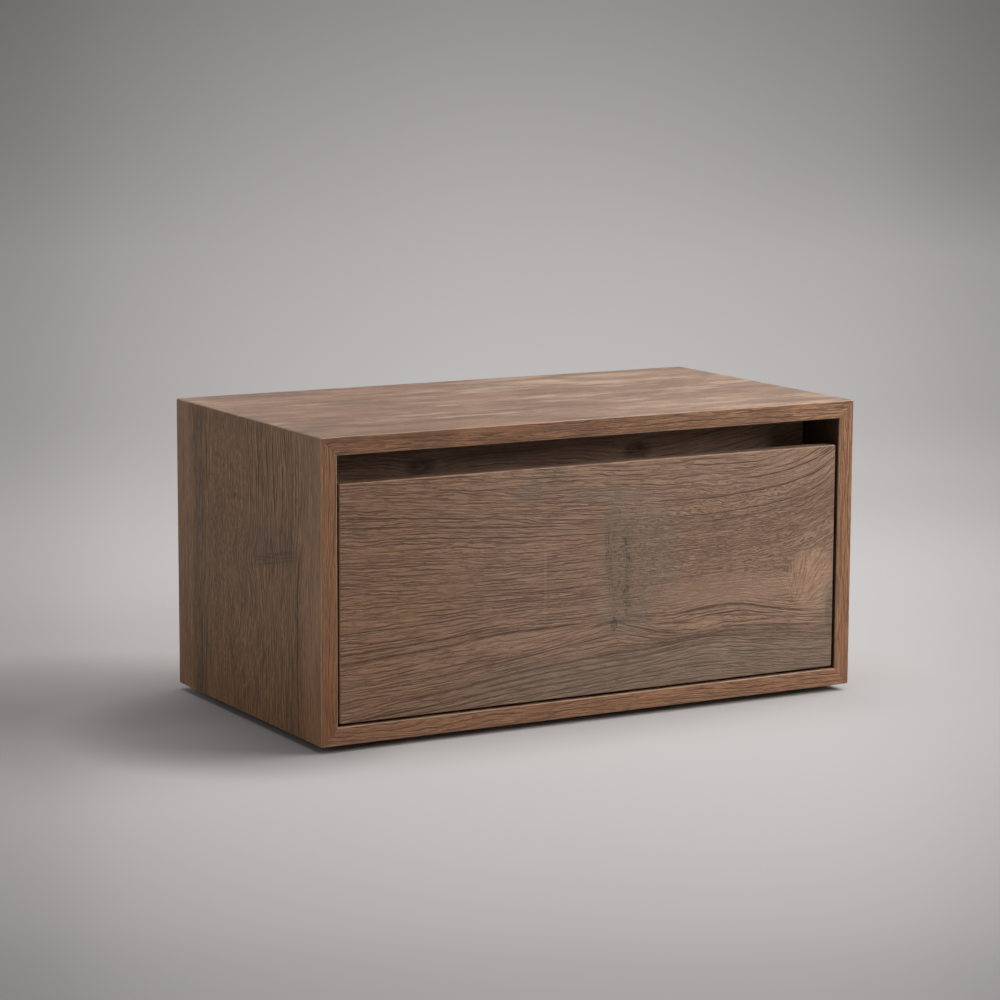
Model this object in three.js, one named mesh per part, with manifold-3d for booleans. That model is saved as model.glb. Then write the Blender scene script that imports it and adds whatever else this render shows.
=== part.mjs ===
// Floating nightstand: a mitred oak cabinet with one inset drawer, opened by a finger gap above it.
// The drawer runs on two telescopic ball-bearing slides. The cabinet hangs on a wooden French cleat
// at its back, or stands on low glides.
//
// Millimetres. +X is to the right seen from the front, +Y is towards the wall and +Z is up.
// The origin lies on the floor, under the middle of the cabinet.

import * as THREE from "three";
import { mergeVertices } from "three/addons/utils/BufferGeometryUtils.js";
import Module from "manifold-3d";

// Cabinet
const CABINET_WIDTH = 550;
const CABINET_DEPTH = 300;
const CABINET_HEIGHT = 268;
const BOARD = 16; // thickness of the four mitred boards
const ARRIS = 0.8; // width of the eased corner along the edges of a board
const SPLINE_THICKNESS = 3; // loose tongue glued into each mitre
const SPLINE_WIDTH = 10;
const SPLINE_STOP = 12; // how far it stops short of the front edge and of the back panel

// Back panel and recess rail
const PANEL_THICKNESS = 6;
const PANEL_GROOVE = 6; // depth of the groove that holds it
const PANEL_INSET = 18; // room for the cleats behind it
const RAIL_THICKNESS = 16;
const RAIL_HEIGHT = 62;
const RAIL_SETBACK = 58; // from the cabinet's front edge, room for the fingers
const DOWEL_RADIUS = 4;
const DOWEL_LENGTH = 28;
const DOWEL_IN_SIDE = 9.5;
const DOWEL_INSET = 16; // from the rail's upper and lower edge
const DOWEL_CHAMFER = 0.8;

// French cleat
const CLEAT_HEIGHT = 52; // of the cabinet's strip, at the wall
const WALL_CLEAT_HEIGHT = 46; // of the wall's strip, at the wall
const WALL_CLEAT_PLAY = 10; // at both ends, to shift the cabinet sideways on the wall
const CLEAT_SCREW_INSET = 69; // of the outer two, from the cabinet's inner sides

// Glides
const GLIDE_HEIGHT = 6;
const GLIDE_RADIUS = 9;
const GLIDE_ROUNDING = 1.5;
const GLIDE_INSET = 34; // from the cabinet's edges
const NAIL_RADIUS = 1.1;
const NAIL_LENGTH = 10;
const NAIL_TIP = 2;

// Drawer front and the gaps around it
const FRONT_THICKNESS = 16;
const FRONT_SETBACK = 1.5; // behind the cabinet's front edges
const REVEAL = 2.5; // at both sides and below
const FINGER_GAP = 25; // above

// Drawer box
const BOX_BOARD = 12;
const BOX_LIFT = 14; // above the bottom panel
const BOX_TOP_ROOM = 12; // below the recess rail
const BOX_REBATE = 6; // depth of the corner rebates in the box's sides
const BOX_ARRIS = 1;
const BOX_BOTTOM = 6; // thickness of its bottom
const BOX_GROOVE = 5; // depth of the groove for the bottom
const BOX_BOTTOM_LIFT = 8; // from the box's lower edge to its bottom

// Telescopic slides: three members of bent sheet, with a cage of balls in each of the two gaps
const SLIDE_SETBACK = 2; // behind the drawer front
const SLIDE_REAR_ROOM = 6.5; // in front of the back panel
const SLIDE_RISE = 74; // its middle line, above the box's lower edge
const SHEET = 1.2;
const SHEET_BEND = 0.2; // inside radius of its sharp bends
const END_ROOM = 6; // by which the moving members are shorter than the cabinet member
const OUTER_BALL = 2.4; // radius
const OUTER_BALL_RISE = 18.9; // from the slide's middle line
const INNER_BALL = 1.75; // radius
const RACE_PLAY = 0.25; // between a ball and its raceway
const SCREW_INSET = 37; // of the cabinet's screws, from either end
const DRAWER_SCREW_INSET = 26; // of the drawer's screws, from either end
const ACCESS_RADIUS = 4.6; // holes in the intermediate member that let a screwdriver through

// Ball cages
const CAGE_SHEET = 0.5;
const CAGE_PLAY = 0.35; // to the webs beside it
const CAGE_LENGTH = 100;
const CAGE_START = 75; // from the slide's front end, drawer closed
const CAGE_END = 6; // from the cage's end to its first ball
const CAGE_BEND = 1.4;
const CAGE_LIP = 1.4; // past the middle of the balls
const WINDOW_LENGTH = 18;
const WINDOW_HEIGHT = 16;
const WINDOW_SPACING = 30;

// Release lever on the drawer member, and the catch on the intermediate member that stops it
const LEVER_THICKNESS = 2.6;
const LEVER_GAP = 0.6; // to the drawer member's web
const LEVER_HUB = 5;
const LEVER_REACH = 34; // from its pivot to its nose
const NOSE_TOP = 4.2;
const NOSE_BOTTOM = 5;
const LEVER_WAIST = 2.6; // half its height between hub and nose
const LEVER_STOP_GAP = 1.3; // between nose and catch, drawer fully out
const RIVET_RADIUS = 2;
const RIVET_HEAD_RADIUS = 3.6;
const RIVET_HEAD_HEIGHT = 0.8;
const CATCH_START = 4; // from the intermediate member's front end
const CATCH_DROP = 1; // below the middle line
const CATCH_HEIGHT = 3.2;

// Rear bumper
const BUMPER_THICKNESS = 5.4;
const BUMPER_OUT = 8; // its width, from the cabinet member's web
const BUMPER_HEIGHT = 28;
const BUMPER_ARRIS = 0.5;
const PEG_RADIUS = 1.4;

// Screws: radius and height of the head, radius of the shank, length and length of the tip
const SLIDE_SCREW = { head: 3.5, headHeight: 1.5, shank: 1.9, length: 12, tip: 3 };
const FRONT_SCREW = { head: 4, headHeight: 2.2, shank: 2, length: 22, tip: 4 };
const CLEAT_SCREW = { head: 4, headHeight: 2.2, shank: 2, length: 18, tip: 4 };
const WALL_SCREW = { head: 5, headHeight: 3, shank: 2.5 };
const FRONT_SCREW_INSET = 50; // from the box's inner corners, sideways
const FRONT_SCREW_RISE = 34; // from the box's upper and lower edge

// Clearances, and the overrun of a cut
const SEAT = 0.2; // glue line or seat between two fixed pieces
const HOLE_PLAY = 0.3; // around a screw, nail, dowel or pin
const OVERRUN = 2;

// Facets and counts
const ROUND_SIDES = 12;
const BALL_SIDES = 8;
const BALL_RINGS = 5;
const BEND_STEPS = 4;
const BALLS_IN_ROW = 6;

// Directions of the bent sheet's arcs, in degrees
const RACE_SLANT = 50; // below level, from an outer ball to the inner ball next to it
const WEB_TURN = 120; // from a web into a race
const RACE_START = 60; // below level, where a race leaves the bend
const RACE_TIP = 20; // above level, where a flange ends
const QUARTER_TURN = 90;
const HALF_TURN = 180;

// Places that several pieces share
const halfWidth = CABINET_WIDTH / 2;
const innerHalf = halfWidth - BOARD;
const front = -CABINET_DEPTH / 2;
const back = CABINET_DEPTH / 2;
const bottom = GLIDE_HEIGHT;
const top = bottom + CABINET_HEIGHT;
const middle = (bottom + top) / 2;
const innerBottom = bottom + BOARD;
const innerTop = top - BOARD;
const panelBack = back - PANEL_INSET;
const panelFront = panelBack - PANEL_THICKNESS;

const railFront = front + RAIL_SETBACK;
const railBottom = innerTop - RAIL_HEIGHT;
const dowelDepth = railFront + RAIL_THICKNESS / 2;
const dowelHeights = { upper: innerTop - DOWEL_INSET, lower: railBottom + DOWEL_INSET };

const cleatFront = panelBack + SEAT;
const cleatDepth = back - cleatFront;
const cleatTop = innerTop - SEAT;
const cleatEdge = cleatTop - CLEAT_HEIGHT; // lower end of the bevel, at the wall
const cleatScrewHeight = cleatTop - (CLEAT_HEIGHT - cleatDepth) / 2;
const cleatScrewOut = innerHalf - CLEAT_SCREW_INSET;
const cleatScrewPlaces = { left: -cleatScrewOut, middle: 0, right: cleatScrewOut };

const frontFace = front + FRONT_SETBACK;
const frontBack = frontFace + FRONT_THICKNESS;
const boxFront = frontBack + SEAT;
const boxBottom = innerBottom + BOX_LIFT;
const boxTop = railBottom - BOX_TOP_ROOM;
const boxFloor = boxBottom + BOX_BOTTOM_LIFT;

// Section of a slide: x from the cabinet's side and y up from its middle line. Each size follows
// from the one before it, from the cabinet member's web to the drawer member's.
const sharpBend = SHEET_BEND + SHEET / 2;
const bendWidth = sharpBend * (1 - cosine(WEB_TURN));
const outerRace = OUTER_BALL + RACE_PLAY + SHEET / 2;
const innerRace = INNER_BALL + RACE_PLAY + SHEET / 2;
const cabinetWeb = SHEET / 2;
const outerCageWeb = SHEET + CAGE_PLAY + CAGE_SHEET / 2;
const middleWeb = outerCageWeb + CAGE_SHEET / 2 + CAGE_PLAY + SHEET / 2;
const innerCageWeb = middleWeb + SHEET / 2 + CAGE_PLAY + CAGE_SHEET / 2;
const outerBallOut = middleWeb + bendWidth + outerRace * cosine(RACE_START);
const outerBall = new THREE.Vector2(outerBallOut, OUTER_BALL_RISE);
const innerBall = pointOnArc(outerBall, outerRace + innerRace, -RACE_SLANT);
const drawerWeb = innerBall.x + innerRace * cosine(RACE_START) + bendWidth;
const slideThickness = drawerWeb + SHEET / 2;

const slideFront = frontBack + SLIDE_SETBACK;
const slideHeight = boxBottom + SLIDE_RISE;
const slideLength = panelFront - SLIDE_REAR_ROOM - slideFront;
const memberLength = slideLength - END_ROOM;
const middleTravel = slideLength / 2; // of the intermediate member, drawer fully out
const cabinetScrews = { front: SCREW_INSET, rear: slideLength - SCREW_INSET };
const drawerScrews = { front: DRAWER_SCREW_INSET, rear: memberLength - DRAWER_SCREW_INSET };
const drawerWebFace = slideThickness - SHEET;
const leverHigh = drawerWebFace - LEVER_GAP;
const leverLow = leverHigh - LEVER_THICKNESS;
const leverPivot = CATCH_START + SHEET + LEVER_STOP_GAP + middleTravel + LEVER_REACH;

const boxBack = boxFront + slideLength; // the drawer box is as long as its slides
const boxHalf = innerHalf - slideThickness - 2 * SEAT;
const boxInnerHalf = boxHalf - BOX_BOARD;
const frontScrewHead = boxFront + BOX_BOARD;
const frontScrewPlaces = {
  upper_left: [FRONT_SCREW_INSET - boxInnerHalf, boxTop - FRONT_SCREW_RISE],
  upper_right: [boxInnerHalf - FRONT_SCREW_INSET, boxTop - FRONT_SCREW_RISE],
  lower_left: [FRONT_SCREW_INSET - boxInnerHalf, boxBottom + FRONT_SCREW_RISE],
  lower_right: [boxInnerHalf - FRONT_SCREW_INSET, boxBottom + FRONT_SCREW_RISE],
};

const glidePlaces = {
  front_left: [GLIDE_INSET - halfWidth, front + GLIDE_INSET],
  front_right: [halfWidth - GLIDE_INSET, front + GLIDE_INSET],
  back_left: [GLIDE_INSET - halfWidth, back - GLIDE_INSET],
  back_right: [halfWidth - GLIDE_INSET, back - GLIDE_INSET],
};

// Finishes
const STAINED_OAK = { color: 0x7d6350, roughness: 0.6, metalness: 0 };
const BIRCH = { color: 0xc9ab7c, roughness: 0.6, metalness: 0 };
const BEECH = { color: 0xb98a5a, roughness: 0.65, metalness: 0 };
const ZINC = { color: 0xb9bcc0, roughness: 0.35, metalness: 1 };
const BLACK_PLASTIC = { color: 0x1b1b1c, roughness: 0.5, metalness: 0 };
const WHITE_PLASTIC = { color: 0xd8d6cf, roughness: 0.5, metalness: 0 };

// Solids

const wasm = await Module();
wasm.setup();

// A closed geometry as a solid that can be joined and cut
function solid(geometry) {
  const bare = new THREE.BufferGeometry();
  bare.setAttribute("position", geometry.getAttribute("position"));
  bare.setIndex(geometry.index);
  const merged = mergeVertices(bare);
  const corners = merged.index.array;
  const triangles = [];
  for (let i = 0; i < corners.length; i += 3) {
    const [a, b, c] = corners.slice(i, i + 3);
    if (a !== b && b !== c && c !== a) {
      triangles.push(a, b, c);
    }
  }
  const vertProperties = new Float32Array(merged.getAttribute("position").array);
  const triVerts = new Uint32Array(triangles);
  return new wasm.Manifold(new wasm.Mesh({ numProp: 3, vertProperties, triVerts }));
}

// A solid back as a geometry
function geometryOf(body) {
  const { vertProperties, triVerts } = body.getMesh();
  const geometry = new THREE.BufferGeometry();
  geometry.setAttribute("position", new THREE.BufferAttribute(vertProperties, 3));
  geometry.setIndex(new THREE.BufferAttribute(triVerts, 1));
  geometry.computeVertexNormals();
  return geometry;
}

function cut(base, ...tools) {
  return geometryOf(tools.reduce((rest, tool) => rest.subtract(solid(tool)), solid(base)));
}

function join(base, ...others) {
  return geometryOf(others.reduce((whole, other) => whole.add(solid(other)), solid(base)));
}

function overlapOf(first, second) {
  return geometryOf(solid(first).intersect(solid(second)));
}

// A copy of a geometry, moved
function moved(geometry, x, y, z) {
  return geometry.clone().translate(x, y, z);
}

// Basic forms

function radians(degrees) {
  return THREE.MathUtils.degToRad(degrees);
}

function cosine(degrees) {
  return Math.cos(radians(degrees));
}

function sine(degrees) {
  return Math.sin(radians(degrees));
}

// A box between two limits along each axis
function block([x0, x1], [y0, y1], [z0, z1]) {
  const geometry = new THREE.BoxGeometry(x1 - x0, y1 - y0, z1 - z0);
  return geometry.translate((x0 + x1) / 2, (y0 + y1) / 2, (z0 + z1) / 2);
}

// A board between two limits along each axis, with all its edges eased. The bevel takes the
// outline out by one arris, and its corners out by the diagonal of one.
function easedBoard([x0, x1], [y0, y1], [z0, z1], arris) {
  const halfX = (x1 - x0) / 2 - arris;
  const halfY = (y1 - y0) / 2 - arris;
  const corner = arris * (Math.SQRT2 - 1);
  const outline = new THREE.Shape();
  outline.moveTo(halfX, corner - halfY);
  outline.lineTo(halfX, halfY - corner);
  outline.lineTo(halfX - corner, halfY);
  outline.lineTo(corner - halfX, halfY);
  outline.lineTo(-halfX, halfY - corner);
  outline.lineTo(-halfX, corner - halfY);
  outline.lineTo(corner - halfX, -halfY);
  outline.lineTo(halfX - corner, -halfY);
  const geometry = new THREE.ExtrudeGeometry(outline, {
    depth: z1 - z0 - 2 * arris,
    bevelThickness: arris,
    bevelSize: arris,
    bevelSegments: 1,
  });
  return geometry.translate((x0 + x1) / 2, (y0 + y1) / 2, z0 + arris);
}

// An outline in x and z, drawn out along y
function drawnAlongY(outline, [y0, y1]) {
  const geometry = new THREE.ExtrudeGeometry(outline, { depth: y1 - y0, bevelEnabled: false });
  return geometry.rotateX(Math.PI / 2).translate(0, y1, 0);
}

// An outline in y and z, drawn out along x
function drawnAlongX(outline, [x0, x1]) {
  const geometry = new THREE.ExtrudeGeometry(outline, { depth: x1 - x0, bevelEnabled: false });
  const alongX = new THREE.Vector3(1, 0, 0);
  const alongY = new THREE.Vector3(0, 1, 0);
  const alongZ = new THREE.Vector3(0, 0, 1);
  geometry.applyMatrix4(new THREE.Matrix4().makeBasis(alongY, alongZ, alongX));
  return geometry.translate(x0, 0, 0);
}

// An outline given by its corners
function polygon(corners) {
  return new THREE.Shape(corners.map(([across, up]) => new THREE.Vector2(across, up)));
}

// A profile of [radius, height] points, from axis to axis and lowest first, turned about z
function turned(profile) {
  const points = profile.map(([radius, height]) => new THREE.Vector2(radius, height));
  return new THREE.LatheGeometry(points, ROUND_SIDES).rotateX(Math.PI / 2);
}

// A round rod along x, with chamfered ends
function rod(radius, [x0, x1], chamfer) {
  const profile = [
    [0, x0],
    [radius - chamfer, x0],
    [radius, x0 + chamfer],
    [radius, x1 - chamfer],
    [radius - chamfer, x1],
    [0, x1],
  ];
  return turned(profile).rotateY(Math.PI / 2);
}

// A cylinder along x
function pin(radius, [x0, x1]) {
  return turned([[0, x0], [radius, x0], [radius, x1], [0, x1]]).rotateY(Math.PI / 2);
}

// Fasteners and glides

// A countersunk screw, its head up at z = 0 and its tip down
function screw({ head, headHeight, shank, length, tip }) {
  return turned([[0, -length], [shank, tip - length], [shank, -headHeight], [head, 0], [0, 0]]);
}

// What the hole for a countersunk screw cuts away, with its mouth up at z = 0
function screwHole({ head, headHeight, shank }, depth) {
  return turned([
    [0, -depth],
    [shank + HOLE_PLAY, -depth],
    [shank + HOLE_PLAY, -headHeight],
    [head + HOLE_PLAY, 0],
    [head + HOLE_PLAY, OVERRUN],
    [0, OVERRUN],
  ]);
}

// A low glide with its nail up
function glide() {
  const seat = GLIDE_HEIGHT - SEAT;
  const point = GLIDE_HEIGHT + NAIL_LENGTH;
  return turned([
    [0, 0],
    [GLIDE_RADIUS - GLIDE_ROUNDING, 0],
    [GLIDE_RADIUS, GLIDE_ROUNDING],
    [GLIDE_RADIUS, seat],
    [NAIL_RADIUS, seat],
    [NAIL_RADIUS, point - NAIL_TIP],
    [0, point],
  ]);
}

// Cabinet

// The tongue in a mitre or, with some play, the groove for it. It crosses the mitre squarely, so
// it leans by 45 degrees, one way or the other.
function spline(lean, play) {
  const width = SPLINE_WIDTH + 2 * play;
  const thickness = SPLINE_THICKNESS + 2 * play;
  const start = front + SPLINE_STOP - play;
  const end = panelFront - SPLINE_STOP + play;
  const geometry = new THREE.BoxGeometry(width, end - start, thickness);
  return geometry.rotateY(lean * radians(45)).translate(0, (start + end) / 2, 0);
}

// One of the four boards, lying flat: its outer face is up at z = 0 and its front edge is at -y.
// Both ends are cut at 45 degrees, and set back by half the glue line.
function cabinetBoard(length) {
  const end = length / 2;
  const mitre = end - SEAT / 2 / cosine(45);
  const mitred = polygon([
    [mitre + OVERRUN, OVERRUN],
    [-mitre - OVERRUN, OVERRUN],
    [BOARD + OVERRUN - mitre, -BOARD - OVERRUN],
    [mitre - BOARD - OVERRUN, -BOARD - OVERRUN],
  ]);
  const plank = easedBoard([-end, end], [front, back], [-BOARD, 0], ARRIS);
  const panelGroove = block(
    [-end, end],
    [panelFront - SEAT, panelBack + SEAT],
    [-BOARD - OVERRUN, PANEL_GROOVE - BOARD],
  );
  return cut(
    overlapOf(plank, drawnAlongY(mitred, [front - OVERRUN, back + OVERRUN])),
    panelGroove,
    moved(spline(1, SEAT), end - BOARD / 2, 0, -BOARD / 2),
    moved(spline(-1, SEAT), BOARD / 2 - end, 0, -BOARD / 2),
  );
}

// The bottom panel lies turned over, so the holes for the glides' nails are in its upper face here.
function bottomPanel() {
  const depth = NAIL_LENGTH + HOLE_PLAY;
  const radius = NAIL_RADIUS + HOLE_PLAY;
  const hole = turned([[0, -depth], [radius, -depth], [radius, OVERRUN], [0, OVERRUN]]);
  const holes = Object.values(glidePlaces).map(([x, y]) => moved(hole, -x, y, 0));
  return cut(cabinetBoard(CABINET_WIDTH), ...holes);
}

// A side, with holes in its inner face for the rail's dowels and the slide's screws. The left side
// is turned up by its +x end and the right one by its -x end; hand is -1 and 1.
function sideBoard(hand) {
  const along = (height) => hand * (middle - height);
  const radius = DOWEL_RADIUS + HOLE_PLAY;
  const depth = DOWEL_IN_SIDE + HOLE_PLAY;
  const dowelHole = turned([[0, -OVERRUN], [radius, -OVERRUN], [radius, depth], [0, depth]]);
  const slideHole = screwHole(SLIDE_SCREW, SLIDE_SCREW.length + HOLE_PLAY).rotateX(Math.PI);
  const screwHead = -BOARD - SEAT - SHEET;
  const dowelHoles = Object.values(dowelHeights).map((height) =>
    moved(dowelHole, along(height), dowelDepth, -BOARD),
  );
  const slideHoles = Object.values(cabinetScrews).map((y) =>
    moved(slideHole, along(slideHeight), slideFront + y, screwHead),
  );
  return cut(cabinetBoard(CABINET_HEIGHT), ...dowelHoles, ...slideHoles);
}

// The holes for the screws that hold the cabinet's cleat, through the back panel from inside
function cleatScrewHoles() {
  const hole = screwHole(CLEAT_SCREW, CLEAT_SCREW.length + HOLE_PLAY).rotateX(Math.PI / 2);
  return Object.values(cleatScrewPlaces).map((x) => moved(hole, x, panelFront, cleatScrewHeight));
}

function backPanel() {
  const reach = PANEL_GROOVE - SEAT;
  const across = [-innerHalf - reach, innerHalf + reach];
  const up = [innerBottom - reach, innerTop + reach];
  return cut(block(across, [panelFront, panelBack], up), ...cleatScrewHoles());
}

// The rail that closes the finger gap, with a dowel hole in each end, above and below
function recessRail() {
  const end = innerHalf - SEAT;
  const depth = DOWEL_LENGTH - DOWEL_IN_SIDE + HOLE_PLAY;
  const radius = DOWEL_RADIUS + HOLE_PLAY;
  const thickness = [railFront, railFront + RAIL_THICKNESS];
  const board = easedBoard([-end, end], thickness, [railBottom, innerTop - SEAT], ARRIS);
  const holes = Object.values(dowelHeights).flatMap((height) => [
    moved(pin(radius, [innerHalf - depth, innerHalf + OVERRUN]), 0, dowelDepth, height),
    moved(pin(radius, [-innerHalf - OVERRUN, depth - innerHalf]), 0, dowelDepth, height),
  ]);
  return cut(board, ...holes);
}

// The cabinet's half of the French cleat: its bevelled lower edge is longest at the wall, where it
// hooks down behind the wall's half and draws the cabinet to the wall.
function cabinetCleat() {
  const end = innerHalf - SEAT;
  const outline = polygon([
    [cleatFront, cleatTop],
    [cleatFront, cleatEdge + cleatDepth],
    [back, cleatEdge],
    [back, cleatTop],
  ]);
  return cut(drawnAlongX(outline, [-end, end]), ...cleatScrewHoles());
}

function wallCleat() {
  const end = innerHalf - WALL_CLEAT_PLAY;
  const edge = cleatEdge - SEAT / cosine(45);
  const foot = edge - WALL_CLEAT_HEIGHT;
  const outline = polygon([
    [cleatFront, edge + cleatDepth],
    [cleatFront, foot],
    [back, foot],
    [back, edge],
  ]);
  const hole = screwHole(WALL_SCREW, cleatDepth + OVERRUN).rotateX(Math.PI / 2);
  const holes = Object.values(cleatScrewPlaces).map((x) =>
    moved(hole, x, cleatFront, (edge + foot) / 2),
  );
  return cut(drawnAlongX(outline, [-end, end]), ...holes);
}

// Drawer

// The holes for the four screws that hold the drawer front, driven from inside the box
function frontScrewHoles() {
  const hole = screwHole(FRONT_SCREW, FRONT_SCREW.length + HOLE_PLAY).rotateX(-Math.PI / 2);
  return Object.values(frontScrewPlaces).map(([x, z]) => moved(hole, x, frontScrewHead, z));
}

function drawerFront() {
  const half = innerHalf - REVEAL;
  const up = [innerBottom + REVEAL, innerTop - FINGER_GAP];
  return cut(easedBoard([-half, half], [frontFace, frontBack], up, ARRIS), ...frontScrewHoles());
}

// The groove for the drawer's bottom, cut in all four boards of the box
function boxGroove() {
  const reach = boxInnerHalf + BOX_GROOVE;
  const inset = BOX_BOARD - BOX_GROOVE;
  const up = [boxFloor - SEAT, boxFloor + BOX_BOTTOM + SEAT];
  return block([-reach, reach], [boxFront + inset, boxBack - inset], up);
}

// A board across the box, which ends in the rebates of its sides
function boxCrossBoard(thickness) {
  const end = boxInnerHalf + BOX_REBATE - SEAT;
  const board = easedBoard([-end, end], thickness, [boxBottom, boxTop], BOX_ARRIS);
  return cut(board, boxGroove());
}

function boxFrontBoard() {
  return cut(boxCrossBoard([boxFront, boxFront + BOX_BOARD]), ...frontScrewHoles());
}

function boxBackBoard() {
  return boxCrossBoard([boxBack - BOX_BOARD, boxBack]);
}

// A side of the box, rebated at both ends, grooved for the bottom and drilled for the slide
function boxSide(hand) {
  const across = hand < 0 ? [-boxHalf, -boxInnerHalf] : [boxInnerHalf, boxHalf];
  const rebate = [-boxInnerHalf - BOX_REBATE, boxInnerHalf + BOX_REBATE];
  const up = [boxBottom - OVERRUN, boxTop + OVERRUN];
  const depth = BOX_BOARD + SEAT;
  const screwHead = hand * (innerHalf - SEAT - drawerWebFace);
  const hole = screwHole(SLIDE_SCREW, SLIDE_SCREW.length + HOLE_PLAY).rotateY(hand * Math.PI / 2);
  const holes = Object.values(drawerScrews).map((y) =>
    moved(hole, screwHead, slideFront + y, slideHeight),
  );
  return cut(
    easedBoard(across, [boxFront, boxBack], [boxBottom, boxTop], BOX_ARRIS),
    block(rebate, [boxFront - OVERRUN, boxFront + depth], up),
    block(rebate, [boxBack - depth, boxBack + OVERRUN], up),
    boxGroove(),
    ...holes,
  );
}

function boxBottomPanel() {
  const reach = boxInnerHalf + BOX_GROOVE - SEAT;
  const inset = BOX_BOARD - BOX_GROOVE + SEAT;
  const up = [boxFloor, boxFloor + BOX_BOTTOM];
  return block([-reach, reach], [boxFront + inset, boxBack - inset], up);
}

// Telescopic slide, in its own frame: x runs from the cabinet's side to the drawer's, y runs back
// from the slide's front end and z runs up from its middle line. The drawer is closed.

function pointOnArc(centre, radius, angle) {
  const across = centre.x + radius * cosine(angle);
  const up = centre.y + radius * sine(angle);
  return new THREE.Vector2(across, up);
}

// Points along an arc, from its first to its last
function arc(centre, radius, from, to) {
  const points = [];
  for (let i = 0; i <= BEND_STEPS; i += 1) {
    points.push(pointOnArc(centre, radius, from + ((to - from) * i) / BEND_STEPS));
  }
  return points;
}

// The sharp bend from an upright web into a race that starts at start. hand is 1 where the race
// lies on the web's +x side and -1 where it lies on its -x side.
function webBend(web, start, hand) {
  const centre = new THREE.Vector2(web + hand * sharpBend, start.y - sharpBend * sine(WEB_TURN));
  const from = hand > 0 ? HALF_TURN : 0;
  return arc(centre, sharpBend, from, from - hand * WEB_TURN);
}

// The outline of a bent sheet. upperHalf is the middle line of its upper half, from the web out,
// and the lower half mirrors it.
function sheetOutline(upperHalf, thickness) {
  const lowerHalf = upperHalf.map((point) => new THREE.Vector2(point.x, -point.y)).reverse();
  const line = [...lowerHalf, ...upperHalf].filter(
    (point, i, all) => i === 0 || point.distanceTo(all[i - 1]) > thickness / 10,
  );
  const steps = line.slice(1).map((point, i) => point.clone().sub(line[i]).normalize());
  const left = [];
  const right = [];
  line.forEach((point, i) => {
    const into = steps[i - 1] ?? steps[i];
    const out = steps[i] ?? steps[i - 1];
    const along = into.clone().add(out).normalize();
    const normal = new THREE.Vector2(-along.y, along.x);
    const reach = thickness / 2 / along.dot(out);
    left.push(point.clone().addScaledVector(normal, reach));
    right.push(point.clone().addScaledVector(normal, -reach));
  });
  return new THREE.Shape([...left, ...right.reverse()]);
}

// The member that is screwed to the cabinet. Its flanges hold the outer balls from outside.
function cabinetMember() {
  const shoulder = outerBall.x - cabinetWeb;
  const centre = new THREE.Vector2(outerBall.x, outerBall.y + outerRace - shoulder);
  const line = [
    ...arc(centre, shoulder, HALF_TURN, QUARTER_TURN),
    ...arc(outerBall, outerRace, QUARTER_TURN, RACE_TIP),
  ];
  const hole = screwHole(SLIDE_SCREW, SLIDE_SCREW.length).rotateY(Math.PI / 2);
  const pegHole = pin(PEG_RADIUS + HOLE_PLAY, [-OVERRUN, SHEET + OVERRUN]);
  return cut(
    drawnAlongY(sheetOutline(line, SHEET), [0, slideLength]),
    moved(hole, SHEET, cabinetScrews.front, 0),
    moved(hole, SHEET, cabinetScrews.rear, 0),
    moved(pegHole, 0, slideLength - BUMPER_THICKNESS / 2, 0),
  );
}

// The member between the two. It runs on the outer balls and holds the inner ones, and its holes
// let a screwdriver reach the cabinet's screws, drawer closed and drawer out.
function intermediateMember() {
  const raceStart = pointOnArc(outerBall, outerRace, RACE_START - HALF_TURN);
  const line = [
    ...webBend(middleWeb, raceStart, 1),
    ...arc(outerBall, outerRace, RACE_START - HALF_TURN, -RACE_SLANT),
    ...arc(innerBall, innerRace, HALF_TURN - RACE_SLANT, RACE_TIP),
  ];
  const catchTab = block(
    [middleWeb, (leverLow + leverHigh) / 2],
    [CATCH_START, CATCH_START + SHEET],
    [-CATCH_DROP - CATCH_HEIGHT, -CATCH_DROP],
  );
  const access = pin(ACCESS_RADIUS, [middleWeb - OVERRUN, middleWeb + OVERRUN]);
  return cut(
    join(drawnAlongY(sheetOutline(line, SHEET), [0, memberLength]), catchTab),
    moved(access, 0, SCREW_INSET, 0),
    moved(access, 0, SCREW_INSET + middleTravel, 0),
  );
}

// The member that is screwed to the drawer. Its flanges run on the inner balls, and the lever's
// rivet stands on its web.
function drawerMember() {
  const raceStart = pointOnArc(innerBall, innerRace, -RACE_START);
  const line = [
    ...webBend(drawerWeb, raceStart, -1),
    ...arc(innerBall, innerRace, -RACE_START, RACE_TIP - HALF_TURN),
  ];
  const headTop = leverLow - HOLE_PLAY;
  const rivet = join(
    pin(RIVET_RADIUS, [headTop - RIVET_HEAD_HEIGHT / 2, drawerWeb]),
    pin(RIVET_HEAD_RADIUS, [headTop - RIVET_HEAD_HEIGHT, headTop]),
  );
  const hole = screwHole(SLIDE_SCREW, SLIDE_SCREW.length).rotateY(-Math.PI / 2);
  return cut(
    join(
      drawnAlongY(sheetOutline(line, SHEET), [0, memberLength]),
      moved(rivet, 0, leverPivot, 0),
    ),
    moved(hole, drawerWebFace, drawerScrews.front, 0),
    moved(hole, drawerWebFace, drawerScrews.rear, 0),
  );
}

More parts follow.
